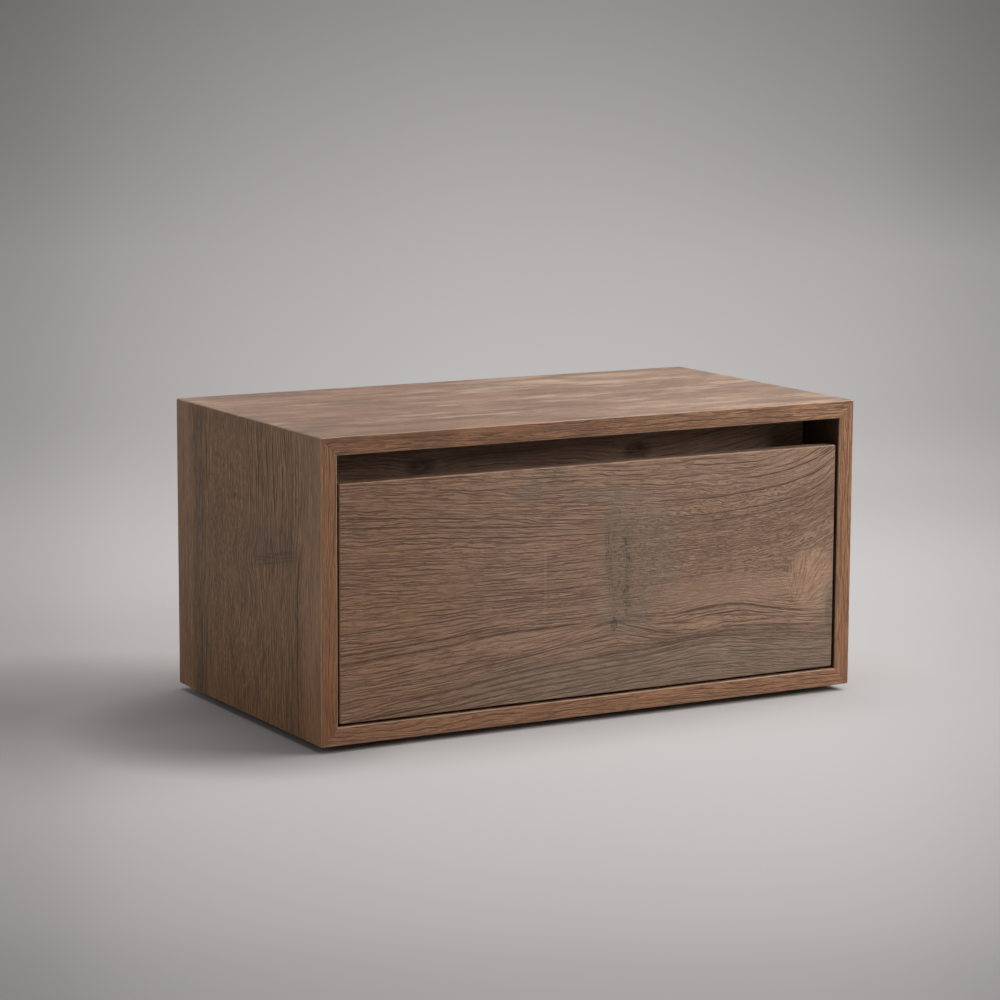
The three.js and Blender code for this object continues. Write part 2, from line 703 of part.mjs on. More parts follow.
// A ball cage: a bent strip with windows, which holds a row of balls above and another below
function ballCage(web, ball, ballRadius) {
  const corner = new THREE.Vector2(web + CAGE_BEND, ball.y - CAGE_BEND);
  const lip = new THREE.Vector2(ball.x + CAGE_LIP, ball.y);
  const line = [...arc(corner, CAGE_BEND, HALF_TURN, QUARTER_TURN), lip];
  const strip = drawnAlongY(sheetOutline(line, CAGE_SHEET), [0, CAGE_LENGTH]);
  const window = block(
    [web - CAGE_SHEET, web + CAGE_SHEET],
    [-WINDOW_LENGTH / 2, WINDOW_LENGTH / 2],
    [-WINDOW_HEIGHT / 2, WINDOW_HEIGHT / 2],
  );
  const windows = [-1, 0, 1].map((step) =>
    moved(window, 0, CAGE_LENGTH / 2 + step * WINDOW_SPACING, 0),
  );
  const sphere = new THREE.SphereGeometry(ballRadius, BALL_SIDES, BALL_RINGS);
  const pitch = (CAGE_LENGTH - 2 * CAGE_END) / (BALLS_IN_ROW - 1);
  const balls = [];
  for (let i = 0; i < BALLS_IN_ROW; i += 1) {
    balls.push(moved(sphere, ball.x, CAGE_END + i * pitch, ball.y));
    balls.push(moved(sphere, ball.x, CAGE_END + i * pitch, -ball.y));
  }
  return join(cut(strip, ...windows), ...balls);
}

// The release lever, about its pivot. Its nose stops behind the catch when the drawer is fully out.
function releaseLever() {
  const neck = -LEVER_REACH / 2;
  const outline = new THREE.Shape();
  outline.absarc(0, 0, LEVER_HUB, -Math.PI / 2, Math.PI / 2, false);
  outline.lineTo(neck, LEVER_WAIST);
  outline.lineTo(-LEVER_REACH, NOSE_TOP);
  outline.lineTo(-LEVER_REACH, -NOSE_BOTTOM);
  outline.lineTo(neck, -LEVER_WAIST);
  const hole = pin(RIVET_RADIUS + HOLE_PLAY, [leverLow - OVERRUN, leverHigh + OVERRUN]);
  return cut(drawnAlongX(outline, [leverLow, leverHigh]), hole);
}

// The bumper that is clipped into the rear end of the cabinet member by its peg
function rearBumper() {
  const web = SHEET + SEAT;
  const thickness = [slideLength - BUMPER_THICKNESS, slideLength];
  const up = [-BUMPER_HEIGHT / 2, BUMPER_HEIGHT / 2];
  const peg = pin(PEG_RADIUS, [SEAT, web + BUMPER_ARRIS * 2]);
  return join(
    easedBoard([web, SHEET + BUMPER_OUT], thickness, up, BUMPER_ARRIS),
    moved(peg, 0, slideLength - BUMPER_THICKNESS / 2, 0),
  );
}

// Assembly

// A named mesh in a group
function piece(group, name, geometry, finish) {
  const mesh = new THREE.Mesh(geometry, new THREE.MeshStandardMaterial(finish));
  mesh.name = name;
  group.add(mesh);
  return mesh;
}

function buildCabinet() {
  const cabinet = new THREE.Group();
  const topPanel = piece(cabinet, "top_panel", cabinetBoard(CABINET_WIDTH), STAINED_OAK);
  topPanel.position.z = top;
  const lowerPanel = piece(cabinet, "bottom_panel", bottomPanel(), STAINED_OAK);
  lowerPanel.position.z = bottom;
  lowerPanel.rotation.y = Math.PI;
  for (const [name, hand] of [["left_side", -1], ["right_side", 1]]) {
    const side = piece(cabinet, name, sideBoard(hand), STAINED_OAK);
    side.position.set(hand * halfWidth, 0, middle);
    side.rotation.y = (hand * Math.PI) / 2;
  }
  for (const [across, x] of [["left", -1], ["right", 1]]) {
    for (const [up, z] of [["bottom", -1], ["top", 1]]) {
      const tongue = piece(cabinet, `mitre_spline_${up}_${across}`, spline(x * z, 0), BEECH);
      const height = middle + z * (CABINET_HEIGHT / 2 - BOARD / 2);
      tongue.position.set(x * (halfWidth - BOARD / 2), 0, height);
    }
  }
  piece(cabinet, "back_panel", backPanel(), BIRCH);
  piece(cabinet, "recess_rail", recessRail(), STAINED_OAK);
  for (const [name, height] of Object.entries(dowelHeights)) {
    const outer = innerHalf + DOWEL_IN_SIDE;
    const right = [outer - DOWEL_LENGTH, outer];
    const left = [-outer, DOWEL_LENGTH - outer];
    for (const [hand, limits] of [["left", left], ["right", right]]) {
      const dowel = rod(DOWEL_RADIUS, limits, DOWEL_CHAMFER);
      piece(cabinet, `rail_dowel_${hand}_${name}`, dowel, BEECH).position.set(0, dowelDepth, height);
    }
  }
  piece(cabinet, "cabinet_cleat", cabinetCleat(), BEECH);
  piece(cabinet, "wall_cleat", wallCleat(), BEECH);
  for (const [name, x] of Object.entries(cleatScrewPlaces)) {
    const cleatScrew = piece(cabinet, `cleat_screw_${name}`, screw(CLEAT_SCREW), ZINC);
    cleatScrew.position.set(x, panelFront, cleatScrewHeight);
    cleatScrew.rotation.x = Math.PI / 2;
  }
  for (const [name, [x, y]] of Object.entries(glidePlaces)) {
    piece(cabinet, `glide_${name}`, glide(), WHITE_PLASTIC).position.set(x, y, 0);
  }
  return cabinet;
}

function buildDrawer() {
  const drawer = new THREE.Group();
  piece(drawer, "drawer_front", drawerFront(), STAINED_OAK);
  piece(drawer, "box_front", boxFrontBoard(), BIRCH);
  piece(drawer, "box_back", boxBackBoard(), BIRCH);
  piece(drawer, "box_left", boxSide(-1), BIRCH);
  piece(drawer, "box_right", boxSide(1), BIRCH);
  piece(drawer, "box_bottom", boxBottomPanel(), BIRCH);
  for (const [name, [x, z]] of Object.entries(frontScrewPlaces)) {
    const frontScrew = piece(drawer, `front_screw_${name}`, screw(FRONT_SCREW), ZINC);
    frontScrew.position.set(x, frontScrewHead, z);
    frontScrew.rotation.x = -Math.PI / 2;
  }
  return drawer;
}

function buildSlide(hand) {
  const slide = new THREE.Group();
  const outerCage = ballCage(outerCageWeb, outerBall, OUTER_BALL);
  const innerCage = ballCage(innerCageWeb, innerBall, INNER_BALL);
  piece(slide, `${hand}_cabinet_member`, cabinetMember(), ZINC);
  piece(slide, `${hand}_intermediate_member`, intermediateMember(), ZINC);
  piece(slide, `${hand}_drawer_member`, drawerMember(), ZINC);
  piece(slide, `${hand}_outer_ball_cage`, outerCage, ZINC).position.y = CAGE_START;
  piece(slide, `${hand}_inner_ball_cage`, innerCage, ZINC).position.y = CAGE_START;
  piece(slide, `${hand}_release_lever`, releaseLever(), BLACK_PLASTIC).position.y = leverPivot;
  piece(slide, `${hand}_rear_bumper`, rearBumper(), BLACK_PLASTIC);
  for (const [name, y] of Object.entries(cabinetScrews)) {
    const cabinetScrew = piece(slide, `${hand}_cabinet_screw_${name}`, screw(SLIDE_SCREW), ZINC);
    cabinetScrew.position.set(SHEET, y, 0);
    cabinetScrew.rotation.y = Math.PI / 2;
  }
  for (const [name, y] of Object.entries(drawerScrews)) {
    const drawerScrew = piece(slide, `${hand}_drawer_screw_${name}`, screw(SLIDE_SCREW), ZINC);
    drawerScrew.position.set(drawerWebFace, y, 0);
    drawerScrew.rotation.y = -Math.PI / 2;
  }
  return slide;
}

// The right slide is the left one turned half way round its length.
function buildSlides() {
  const slides = new THREE.Group();
  const left = buildSlide("left");
  const right = buildSlide("right");
  left.position.set(SEAT - innerHalf, slideFront, slideHeight);
  right.position.set(innerHalf - SEAT, slideFront, slideHeight);
  right.rotation.y = Math.PI;
  slides.add(left, right);
  return slides;
}

const nightstand = new THREE.Group();
nightstand.add(buildCabinet(), buildDrawer(), buildSlides());

export default nightstand;
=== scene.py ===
"""The looks of the floating nightstand: finishes, small hardware, stage, light and camera.

Lengths are in metres. Inside the wood materials they are in millimetres, as on a drawing.
"""

import math

import bmesh
import bpy
from mathutils import Matrix, Vector


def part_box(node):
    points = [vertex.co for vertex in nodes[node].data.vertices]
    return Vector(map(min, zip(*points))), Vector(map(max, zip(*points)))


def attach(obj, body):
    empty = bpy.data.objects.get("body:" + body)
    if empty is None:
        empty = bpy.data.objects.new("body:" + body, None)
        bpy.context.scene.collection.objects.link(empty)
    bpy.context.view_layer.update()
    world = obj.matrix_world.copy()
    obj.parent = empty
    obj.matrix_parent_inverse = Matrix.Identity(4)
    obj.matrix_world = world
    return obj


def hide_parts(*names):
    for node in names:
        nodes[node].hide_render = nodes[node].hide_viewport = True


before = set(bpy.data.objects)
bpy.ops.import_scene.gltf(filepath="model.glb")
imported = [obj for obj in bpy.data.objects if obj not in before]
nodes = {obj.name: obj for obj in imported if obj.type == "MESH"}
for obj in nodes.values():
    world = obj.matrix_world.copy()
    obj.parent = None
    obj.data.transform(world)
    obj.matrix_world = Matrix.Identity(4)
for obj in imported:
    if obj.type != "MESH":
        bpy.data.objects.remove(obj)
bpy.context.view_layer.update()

MM = 0.001

# Camera, fitted to the corners of the cabinet in the photograph
LENS = 116.4
SENSOR = 36
EYE = Vector((-1.4677, -2.5772, 0.6514))
AZIMUTH = math.radians(29.39)
TILT = math.radians(9.04)
ROLL = math.radians(0.237)
CLIP = (0.05, 50)

# Lamps: place, side of the square lamp, power in watts
LAMPS = {
    "key_lamp": ((1.007, -0.178, 1.237), 0.7, 10),
    "low_lamp": ((1.041, -0.874, 0.774), 0.7, 10.6),
    "top_lamp": ((0, 0, 2.6), 1.6, 24),
    "left_lamp": ((-2.4, 0.2, 0.9), 1.4, 5.6),
    "back_lamp": ((0.2, 2.6, 1.0), 1.4, 7),
}
LAMP_TARGET = Vector((0, 0, 0.14))
AMBIENT = 0.136

# Slides, as in the part: places from a slide's web on the cabinet and from its middle line
OUTER_BALL = (5.825 * MM, 18.9 * MM, 2.4 * MM)
INNER_BALL = (9.585 * MM, 14.42 * MM, 1.75 * MM)
SLIDE_WEB = 258.8 * MM
SLIDE_MIDDLE = 110 * MM
CAGE_END = 6 * MM
BALLS_IN_ROW = 6
BALL_SIDES = 20
BALL_RINGS = 12


class Field:
    """A number that varies over a surface: the output of a node, with plain arithmetic."""

    def __init__(self, graph, socket):
        self.graph = graph
        self.socket = socket

    def __add__(self, other):
        return self.graph.math("ADD", self, other)

    def __sub__(self, other):
        return self.graph.math("SUBTRACT", self, other)

    def __rsub__(self, other):
        return self.graph.math("SUBTRACT", other, self)

    def __mul__(self, other):
        return self.graph.math("MULTIPLY", self, other)

    def __truediv__(self, other):
        return self.graph.math("DIVIDE", self, other)

    __radd__ = __add__
    __rmul__ = __mul__

    def __pow__(self, other):
        return self.graph.math("POWER", self, other)

    def __abs__(self):
        return self.graph.math("ABSOLUTE", self)

    def fraction(self):
        """What is left when the whole part is taken away."""
        return self.graph.math("FRACT", self)

    def over(self, other):
        """The larger of the two."""
        return self.graph.math("MAXIMUM", self, other)

    def capped(self, most=1.0):
        """The number itself, but never more than most."""
        return self.graph.math("MINIMUM", self, most)

    def ramp(self, start, end, low=0.0, high=1.0):
        """A smooth step from low at start to high at end."""
        return self.graph.map_range(self, start, end, low, high, "SMOOTHSTEP")

    def slope(self, start, end, low, high):
        """A straight step from low at start to high at end."""
        return self.graph.map_range(self, start, end, low, high, "LINEAR")

    def near(self, place, width):
        """1 at a place, falling smoothly to 0 at a width from it."""
        return abs(self - place).ramp(width, 0)

    def span(self, start, full, fade, end):
        """1 from full to fade, falling smoothly to 0 at start and at end."""
        return self.ramp(start, full) * self.ramp(end, fade)


class Graph:
    """The node tree of a material. Its methods add nodes and return their outputs."""

    def __init__(self, name):
        self.material = bpy.data.materials.new(name)
        self.material.use_nodes = True
        self.tree = self.material.node_tree
        self.shader = self.tree.nodes["Principled BSDF"]

    def feed(self, socket, value):
        if isinstance(value, Field):
            value = value.socket
        if isinstance(value, bpy.types.NodeSocket):
            self.tree.links.new(value, socket)
        elif value is not None:
            socket.default_value = value

    def node(self, kind, *values, **settings):
        made = self.tree.nodes.new(kind)
        for name, setting in settings.items():
            setattr(made, name, setting)
        for socket, value in zip(made.inputs, values):
            self.feed(socket, value)
        return made

    def math(self, operation, *values):
        return Field(self, self.node("ShaderNodeMath", *values, operation=operation).outputs[0])

    def map_range(self, value, start, end, low, high, interpolation):
        values = (value, start, end, low, high)
        made = self.node("ShaderNodeMapRange", *values, interpolation_type=interpolation)
        return Field(self, made.outputs[0])

    def coordinates(self, kind):
        """The three numbers that the texture coordinates of a kind hold."""
        vector = self.node("ShaderNodeTexCoord").outputs[kind]
        split = self.node("ShaderNodeSeparateXYZ", vector)
        return [Field(self, output) for output in split.outputs]

    def place(self):
        """The three coordinates of a point, in millimetres, in the part's own frame."""
        return [metres / MM for metres in self.coordinates("Object")]

    def noise(self, x, y, z, detail=2.0, roughness=0.5):
        """Soft noise from 0 to 1, with a middle of 0.5 and patches about one unit wide."""
        made = self.node("ShaderNodeTexNoise", noise_dimensions="3D")
        made.inputs["Scale"].default_value = 1.0
        made.inputs["Detail"].default_value = detail
        made.inputs["Roughness"].default_value = roughness
        self.feed(made.inputs["Vector"], self.node("ShaderNodeCombineXYZ", x, y, z).outputs[0])
        return Field(self, made.outputs[0])

    def curve(self, value, points, low, high):
        """A smooth curve through points, each of them a (value, result) pair."""
        start, end = points[0][0], points[-1][0]
        made = self.node("ShaderNodeFloatCurve")
        line = made.mapping.curves[0]
        made.mapping.extend = "HORIZONTAL"
        spots = [((x - start) / (end - start), (y - low) / (high - low)) for x, y in points]
        line.points[0].location = spots[0]
        line.points[1].location = spots[-1]
        for spot in spots[1:-1]:
            line.points.new(*spot)
        made.mapping.update()
        self.feed(made.inputs["Value"], (value - start) / (end - start))
        return Field(self, made.outputs[0]) * (high - low) + low

    def spot(self, x, y, centre, radii, soft):
        """1 inside an oval and 0 outside it, with a soft edge."""
        out = ((x - centre[0]) / radii[0]) ** 2 + ((y - centre[1]) / radii[1]) ** 2
        return out.ramp(1 + soft, 1 - soft)

    def spots(self, x, y, table):
        """Several ovals together, each given as (centre, radii, softness, share)."""
        return sum(
            self.spot(x, y, centre, radii, soft) * share for centre, radii, soft, share in table
        )

    def mix(self, share, first, second, blend="MIX"):
        made = self.node("ShaderNodeMix", data_type="RGBA", blend_type=blend)
        self.feed(made.inputs[0], share)
        self.feed(made.inputs[6], first)
        self.feed(made.inputs[7], second)
        return made.outputs[2]

    def tint(self, share, colour, by):
        return self.mix(share, colour, by, "MULTIPLY")

    def layers(self, colour, table):
        """Shades over a colour, each given as (field, start, end, share, shade).

        A shade shows where its field has gone from start to end, and by no more than its share.
        """
        for field, start, end, share, shade in table:
            colour = self.mix(field.ramp(start, end) * share, colour, shade)
        return colour

    def veins(self, colour, field, table, shade):
        """Lines over a colour where a field has a level, each given as (level, width, share)."""
        for level, width, share in table:
            colour = self.mix(field.near(level, width) * share, colour, shade)
        return colour

    def finish(self, colour, roughness, bump=None, depth=0.1, **constants):
        """Connects the surface's colour, roughness and relief, the last in millimetres."""
        self.feed(self.shader.inputs["Base Color"], colour)
        self.feed(self.shader.inputs["Roughness"], roughness)
        for name, value in constants.items():
            self.shader.inputs[name.replace("_", " ")].default_value = value
        if bump is not None:
            relief = self.node("ShaderNodeBump")
            relief.inputs["Strength"].default_value = 1.0
            relief.inputs["Distance"].default_value = depth * MM
            self.feed(relief.inputs["Height"], bump)
            self.feed(self.shader.inputs["Normal"], relief.outputs[0])
        return self.material


def tone(red, green, blue):
    """A colour as a screen shows it, from 0 to 255, in the renderer's own linear scale."""
    shares = (part / 255 for part in (red, green, blue))
    linear = [s / 12.92 if s <= 0.04045 else ((s + 0.055) / 1.055) ** 2.4 for s in shares]
    return (*linear, 1.0)


def scaled(colour, share):
    """A colour with its brightness times share."""
    return (*(part * share for part in colour[:3]), 1.0)


# Oak
#
# Noise stays near 0.5, so a ramp between two numbers around it picks its peaks or its hollows.
# A share from 0 to 1 says how strongly something shows. The last place that is given to a noise
# only picks another pattern, and so does a board's seed.

OAK = tone(173, 137, 112)
OAK_DARK = tone(126, 96, 75)
OAK_LIGHT = tone(202, 168, 141)
OAK_PORE = tone(66, 46, 33)
OAK_GREY = tone(148, 129, 110)
OAK_WARM = tone(184, 148, 120)
OAK_RED = tone(152, 116, 94)
EDGE_TINT = tone(255, 232, 208)
# Painted shade: the faces that turn inward, into the reveals, are darker
INSIDE_PAINTED_SHADE = tone(150, 138, 126)  # the inner faces of the sides are darker
# Painted shade with a redder tone: the drawer front is darker to its left
FRONT_LEFT_PAINTED_SHADE = tone(246, 237, 223)
# Painted shade: the drawer front is darker towards its bottom
FRONT_LOW_PAINTED_SHADE = tone(238, 240, 241)
SIDE_TINT = tone(255, 251, 238)
# Painted shade: the left side is darker towards its bottom
SIDE_LOW_PAINTED_SHADE = tone(232, 216, 194)
SIDE_SHADE = tone(112, 93, 82)
TOP_RED = tone(174, 132, 109)
TOP_CURL_SHADE = tone(206, 176, 148)
TOP_HAZE = tone(204, 182, 166)
# Painted shade with a redder tone: the top is darker to its left
TOP_LEFT_PAINTED_SHADE = tone(244, 237, 232)
RELIEF = 0.9  # depth of the brushed grain

# Noises: length of their patches along the grain, height across it, and octaves of detail
BROAD = (300, 14, 2.5)
CLOUD = (46, 22, 2.0)
STREAK = (110, 4.2, 2.5)
BLUSH = (90, 16, 1.5)
THREAD = (26, 1.55, 1.8)
GATHERING = (70, 9, 1.5)
CONTOUR = (44, 2.9, 1.0)
DASH = (11, 0.95, 1.0)
PORE = (6, 0.55, 1.0)
SCALE = (6.5, 1.2, 1.0)
SCALE_WAVE = (15, 7, 1.0)
OAK_WAVES = [(6, 170, 46), (1.8, 34, 11), (0.6, 10, 4)]  # how far, over which length and height

# Growth rings: thin dark lines at an uneven spacing, and wider ones further apart
RING_SPACING = 3.3
RING_CLIMB = 0.8  # across the board for each millimetre into it
RING_WIDTH = 0.24  # half of it, as a share of the spacing
RING_STRENGTH = (32, 4.2, 1.8)
RING_DRIFTS = [((120, 17, 1.5), 3.2), ((21, 6, 1.0), 0.8)]  # noise, and how many rings it shifts
WIDE_RINGS = 0.41  # for each thin one
WIDE_RING_WIDTH = 0.11
WIDE_RING_DRIFT = (60, 9, 1.0)

# Lines that the grain of the drawer front follows, left to right, as (along, down) in millimetres
# from its upper left corner. The grain runs between each line and the next.
FRONT_GUIDES = [
    [(0, -12), (120, -10), (300, -8), (440, -11), (480, -19), (513, -32)],
    [
        (0, 28), (60, 32), (180, 42), (270, 48), (367, 52), (433, 48), (467, 43), (493, 35),
        (513, 23),
    ],
    [(0, 95), (100, 98), (200, 100), (270, 98), (367, 94), (440, 89), (480, 81), (513, 68)],
    [
        (0, 157.5), (50, 154), (100, 151), (150, 145), (200, 143.5), (262, 143), (300, 143),
        (340, 143.5), (357, 141), (392, 138.7), (410, 139.7), (432, 144), (458, 149), (488, 153),
        (513, 154),
    ],
    [
        (0, 172), (100, 167), (200, 158), (250, 150), (272, 146), (295, 151), (320, 157.5),
        (343, 161), (373, 161), (400, 159), (427, 160), (483, 164), (513, 166),
    ],
    [
        (0, 199), (50, 196), (110, 191), (150, 185.5), (200, 180), (262, 176), (317, 173),
        (357, 169), (377, 168), (420, 171), (470, 176), (513, 180),
    ],
    [(0, 226), (130, 214), (262, 205), (357, 199), (420, 201), (513, 207)],
    [(0, 262), (130, 254), (262, 250), (357, 248), (420, 250), (513, 252)],
]
FRONT_LEVELS = [0, 42, 100, 152, 164, 190, 216, 262]

# Dark growth lines of the drawer front: which guide, how far below it in the grain's own
# millimetres, where the line starts and ends along the board, and how thick it is
FRONT_LINES = [
    (3, 0, -20, 262, 2.1), (3, -6.5, -20, 170, 1.7), (3, -12, -20, 110, 0.9),
    (3, 0.5, 326, 505, 1.9), (3, 4.5, 350, 470, 1.0), (4, 0, 262, 362, 1.8),
    (4, 3.5, 380, 510, 1.5), (4, 9, 60, 300, 1.0), (4, 14, 290, 430, 1.0), (4, 19, 250, 400, 0.9),
    (5, -1, 50, 440, 2.4), (5, 4.5, 120, 400, 1.8), (5, 9.5, -20, 340, 1.9),
    (5, 14.5, -20, 260, 1.6), (5, 20, 60, 410, 1.1), (5, 3, 400, 530, 1.0), (5, 12, 380, 530, 1.0),
    (1, 2, -20, 190, 1.0), (1, 9, -20, 240, 1.1), (1, 18, 30, 300, 0.8), (1, -9, 300, 530, 1.0),
    (1, 3, 320, 530, 1.2), (1, 12, 340, 530, 0.9), (1, -18, 400, 530, 1.0), (2, 12, 120, 260, 0.8),
    (3, -22, -20, 130, 0.8),
]

# Lines that the grain of the left side follows, top to bottom, as (down, across) in millimetres
# from its upper back corner
SIDE_GUIDES = [
    [(0, -20), (134, -20), (268, -20)],
    [(0, 65), (80, 66), (140, 64), (180, 56), (210, 53), (268, 53)],
    [(0, 168), (60, 170), (105, 166), (122, 158), (145, 166), (200, 172), (268, 168)],
    [(0, 186), (60, 190), (105, 188), (122, 186), (145, 189), (200, 194), (268, 188)],
    [(0, 204), (60, 206), (105, 211), (122, 218), (145, 212), (200, 213), (268, 208)],
    [(0, 262), (85, 263), (110, 258), (180, 254), (268, 256)],
    [(0, 320), (134, 320), (268, 320)],
]
SIDE_LEVELS = [0, 84, 190, 208, 226, 266, 320]
SIDE_LINES = [
    (1, 0, -10, 90, 1.4), (1, 0, 172, 290, 2.6), (1, 9, 175, 290, 1.5), (5, -1, 40, 95, 1.2),
    (5, 4, 30, 95, 1.2), (5, 0, 92, 290, 2.1), (3, 2, 124, 174, 1.9), (3, -22, 128, 165, 1.3),
    (4, 10, 126, 160, 1.2), (3, -12, -10, 95, 1.2), (3, -4, 20, 104, 1.0), (3, 8, 0, 90, 1.1),
    (2, 2, 20, 100, 1.1), (4, 2, -10, 104, 1.2), (4, 14, 10, 100, 1.0),
]

# Lines that the grain of the recess rail follows, as (along, down) from its upper left corner
RAIL_GUIDES = [
    [(0, -10), (106, -10), (216, -12), (335, -10), (425, -30), (518, -48)],
    [(0, 10), (70, 11), (111, 15), (156, 12), (262, 12), (335, 16), (410, 6), (518, -16)],
    [(0, 24), (70, 25), (111, 31), (156, 24), (262, 25), (335, 34), (410, 26), (518, 4)],
    [(0, 50), (106, 52), (262, 50), (335, 60), (410, 56), (518, 40)],
    [(0, 90), (106, 92), (335, 96), (518, 84)],
]
RAIL_LEVELS = [0, 22, 36, 62, 100]
RAIL_LINES = [
    (1, 0, 20, 90, 1.0), (1, 6, 300, 510, 1.2), (2, 4, 280, 500, 1.2), (2, -6, 120, 250, 1),
]
LINE_START = 30  # over this length a growth line comes up
LINE_END = 35  # and over this length it fades

# Ovals on the drawer front: centre, radii, softness of the edge and, in a list, their share
FRONT_SCALY = ((410, 78), (150, 58), 0.8)
FRONT_SWIRL = ((487, 122), (24, 27), 0.5)
FRONT_WARM = [((395, 126), (82, 13), 0.8, 1), ((186, 150.5), (82, 4.5), 0.7, 0.8)]
FRONT_GREY = [
    ((302, 84), (42, 56), 0.7, 0.8),
    ((284, 140), (24, 22), 0.6, 1),
    ((262, 27), (40, 6), 0.8, 1),
    ((190, 20), (18, 8), 0.8, 1),
    ((508, 152), (9, 24), 0.8, 1),
]
BESIDE_KNOT = ((302, 90), (30, 56), 0.8)
KNOT_FOOT = ((274, 147), (3.5, 7), 0.8)
BESIDE_SWIRL = [((463, 112), (4, 5), 0.6, 0.8), ((465, 134), (3.5, 13), 0.6, 0.5)]
FRONT_END = ((509, 155), (5, 17), 0.8)
SWIRL_FOOT = (466, 156)  # its fibres fan out from here

# Upright bands on the drawer front: place along it, half width, and where it comes up and fades
KNOT_CORE = (276, 12, (10, 34, 138, 160))
KNOT_RIMS = [(267, 6, (48, 70, 96, 126)), (287, 6, (50, 70, 120, 150))]
SCAR = (203, 2.2, (68, 78, 132, 142))

# Ovals on the left side
SIDE_SCALY = ((115, 112), (150, 46), 0.7)
SIDE_RIPPLES = ((216, 165), (46, 44), 0.7)
SIDE_PATCH = ((105, 210), (19, 48), 0.8)
SIDE_TOP = ((8, 110), (9, 60), 0.7)
RIPPLE_LEAN = 0.4
SIDE_BAND = (28, 44, 58, 68)  # where a grey band along the board comes up and fades

# The knot of the left side, measured from its own level, which rises to the front. Its lines:
# distance from the level, half width, where the line comes up and fades, share
SIDE_KNOT = (121, 188)
SIDE_KNOT_RISE = 0.2
SIDE_SMEAR = ((0, 206), (6, 50), 0.8)
SIDE_EYE = ((0, 189), (4.5, 5), 0.8)
SIDE_KNOT_LINES = [(4.5, 2.2, (155, 175, 190, 225), 0.3), (-4, 2.2, (190, 215, 235, 268), 0.25)]

# Ovals on the top and on the recess rail
TOP_CURL = ((420, 62), (120, 40), 0.8)
TOP_CURL_MIDDLE = (455, 20)
TOP_CURL_STRETCH = 2.4
TOP_VEINS = [(0.5, 0.05, 0.55), (0.4, 0.04, 0.45)]  # level in the noise, half width, share
RAIL_KNOTS = [((111, 24), (15, 7), 0.9, 1), ((335, 25), (14, 8), 0.9, 1)]

FACING = (0.55, 0.85)  # how far a face turns to a side that it counts as facing
# Paler arrises, a painted highlight with wear, are where a face turns to no side by more than this
ARRIS = (0.985, 0.9)  # a rounded edge faces no side by more than this
WITHIN_SIDES = 100  # the cabinet's sides stand further from its middle
SEED_SHIFT = (3.17, 7.31)


def grain_from_guides(graph, along, down, guides, levels):
    """The height of a point between the guides, in the grain's own millimetres."""
    low = min(y for guide in guides for _, y in guide)
    high = max(y for guide in guides for _, y in guide)
    lines = [graph.curve(along, guide, low, high) for guide in guides]
    bands = zip(lines, lines[1:], levels, levels[1:])
    return sum(down.slope(upper, lower, 0, end - start) for upper, lower, start, end in bands)


def growth_lines(along, grain, lines, levels):
    """How dark the drawn growth lines make a point."""
    dark = None
    for guide, below, start, end, thick in lines:
        line = grain.near(levels[guide] + below, thick)
        line = line * along.span(start, start + LINE_START, end - LINE_END, end)
        dark = line if dark is None else dark.over(line)
    return dark


class Board:
    """The wood of one board while its material is made.

    along and down are a point's distances from one corner, along the board and across it, in
    millimetres. grain is the distance across as the grain counts it, so it bends with the grain.
    """

    def __init__(self, name, along, across, corner, seed):
        self.graph = Graph(name)
        self.seed = seed
        place = dict(zip("xyz", self.graph.place()))
        self.facing = dict(zip("xyz", self.graph.coordinates("Normal")))
        (axis, turn), (side, flip) = along, across
        self.along = (place[axis] - corner[0]) * turn
        self.down = (place[side] - corner[1]) * flip
        self.depth = place[({"x", "y", "z"} - {axis, side}).pop()]
        self.grain = self.down
        x, y, z = self.facing.values()
        self.end = abs(self.facing[axis]).ramp(*FACING)
        self.front = (y * -1).ramp(*FACING)
        hand = place["x"].ramp(-WITHIN_SIDES, WITHIN_SIDES, -1, 1)
        self.inside = (hand * x * -1).ramp(*FACING)
        self.arris = abs(x).over(abs(y)).over(abs(z)).ramp(*ARRIS)

    def noise(self, along, down, detail=2.0, roughness=0.5):
        """Noise with patches of the given length and height, in the grain's millimetres."""
        length = self.along / along + self.seed * SEED_SHIFT[0]
        height = self.grain / down + self.seed * SEED_SHIFT[1]
        return self.graph.noise(length, height, self.depth / down, detail, roughness)

    def wave(self, amount, long, tall):
        """Bends the grain softly up and down."""
        self.grain = self.grain + (self.noise(long, tall, 1.5) - 0.5) * amount

    def spot(self, *oval):
        return self.graph.spot(self.along, self.down, *oval)

    def spots(self, table):
        return self.graph.spots(self.along, self.down, table)


def growth_rings(board, gather):
    """How dark the growth rings make a point. Where gather is high the wide ones are darker."""
    rings = (board.grain + board.depth * RING_CLIMB) / RING_SPACING
    for sizes, drift in RING_DRIFTS:
        rings = rings + board.noise(*sizes) * drift
    strength = board.noise(*RING_STRENGTH).ramp(0.36, 0.6)
    thin = rings.fraction().near(0.5, RING_WIDTH) * (0.14 + strength * 0.72)
    wide = (rings * WIDE_RINGS + board.noise(*WIDE_RING_DRIFT)).fraction()
    return thin.over(wide.near(0.5, WIDE_RING_WIDTH) * (0.25 + gather * 0.45))


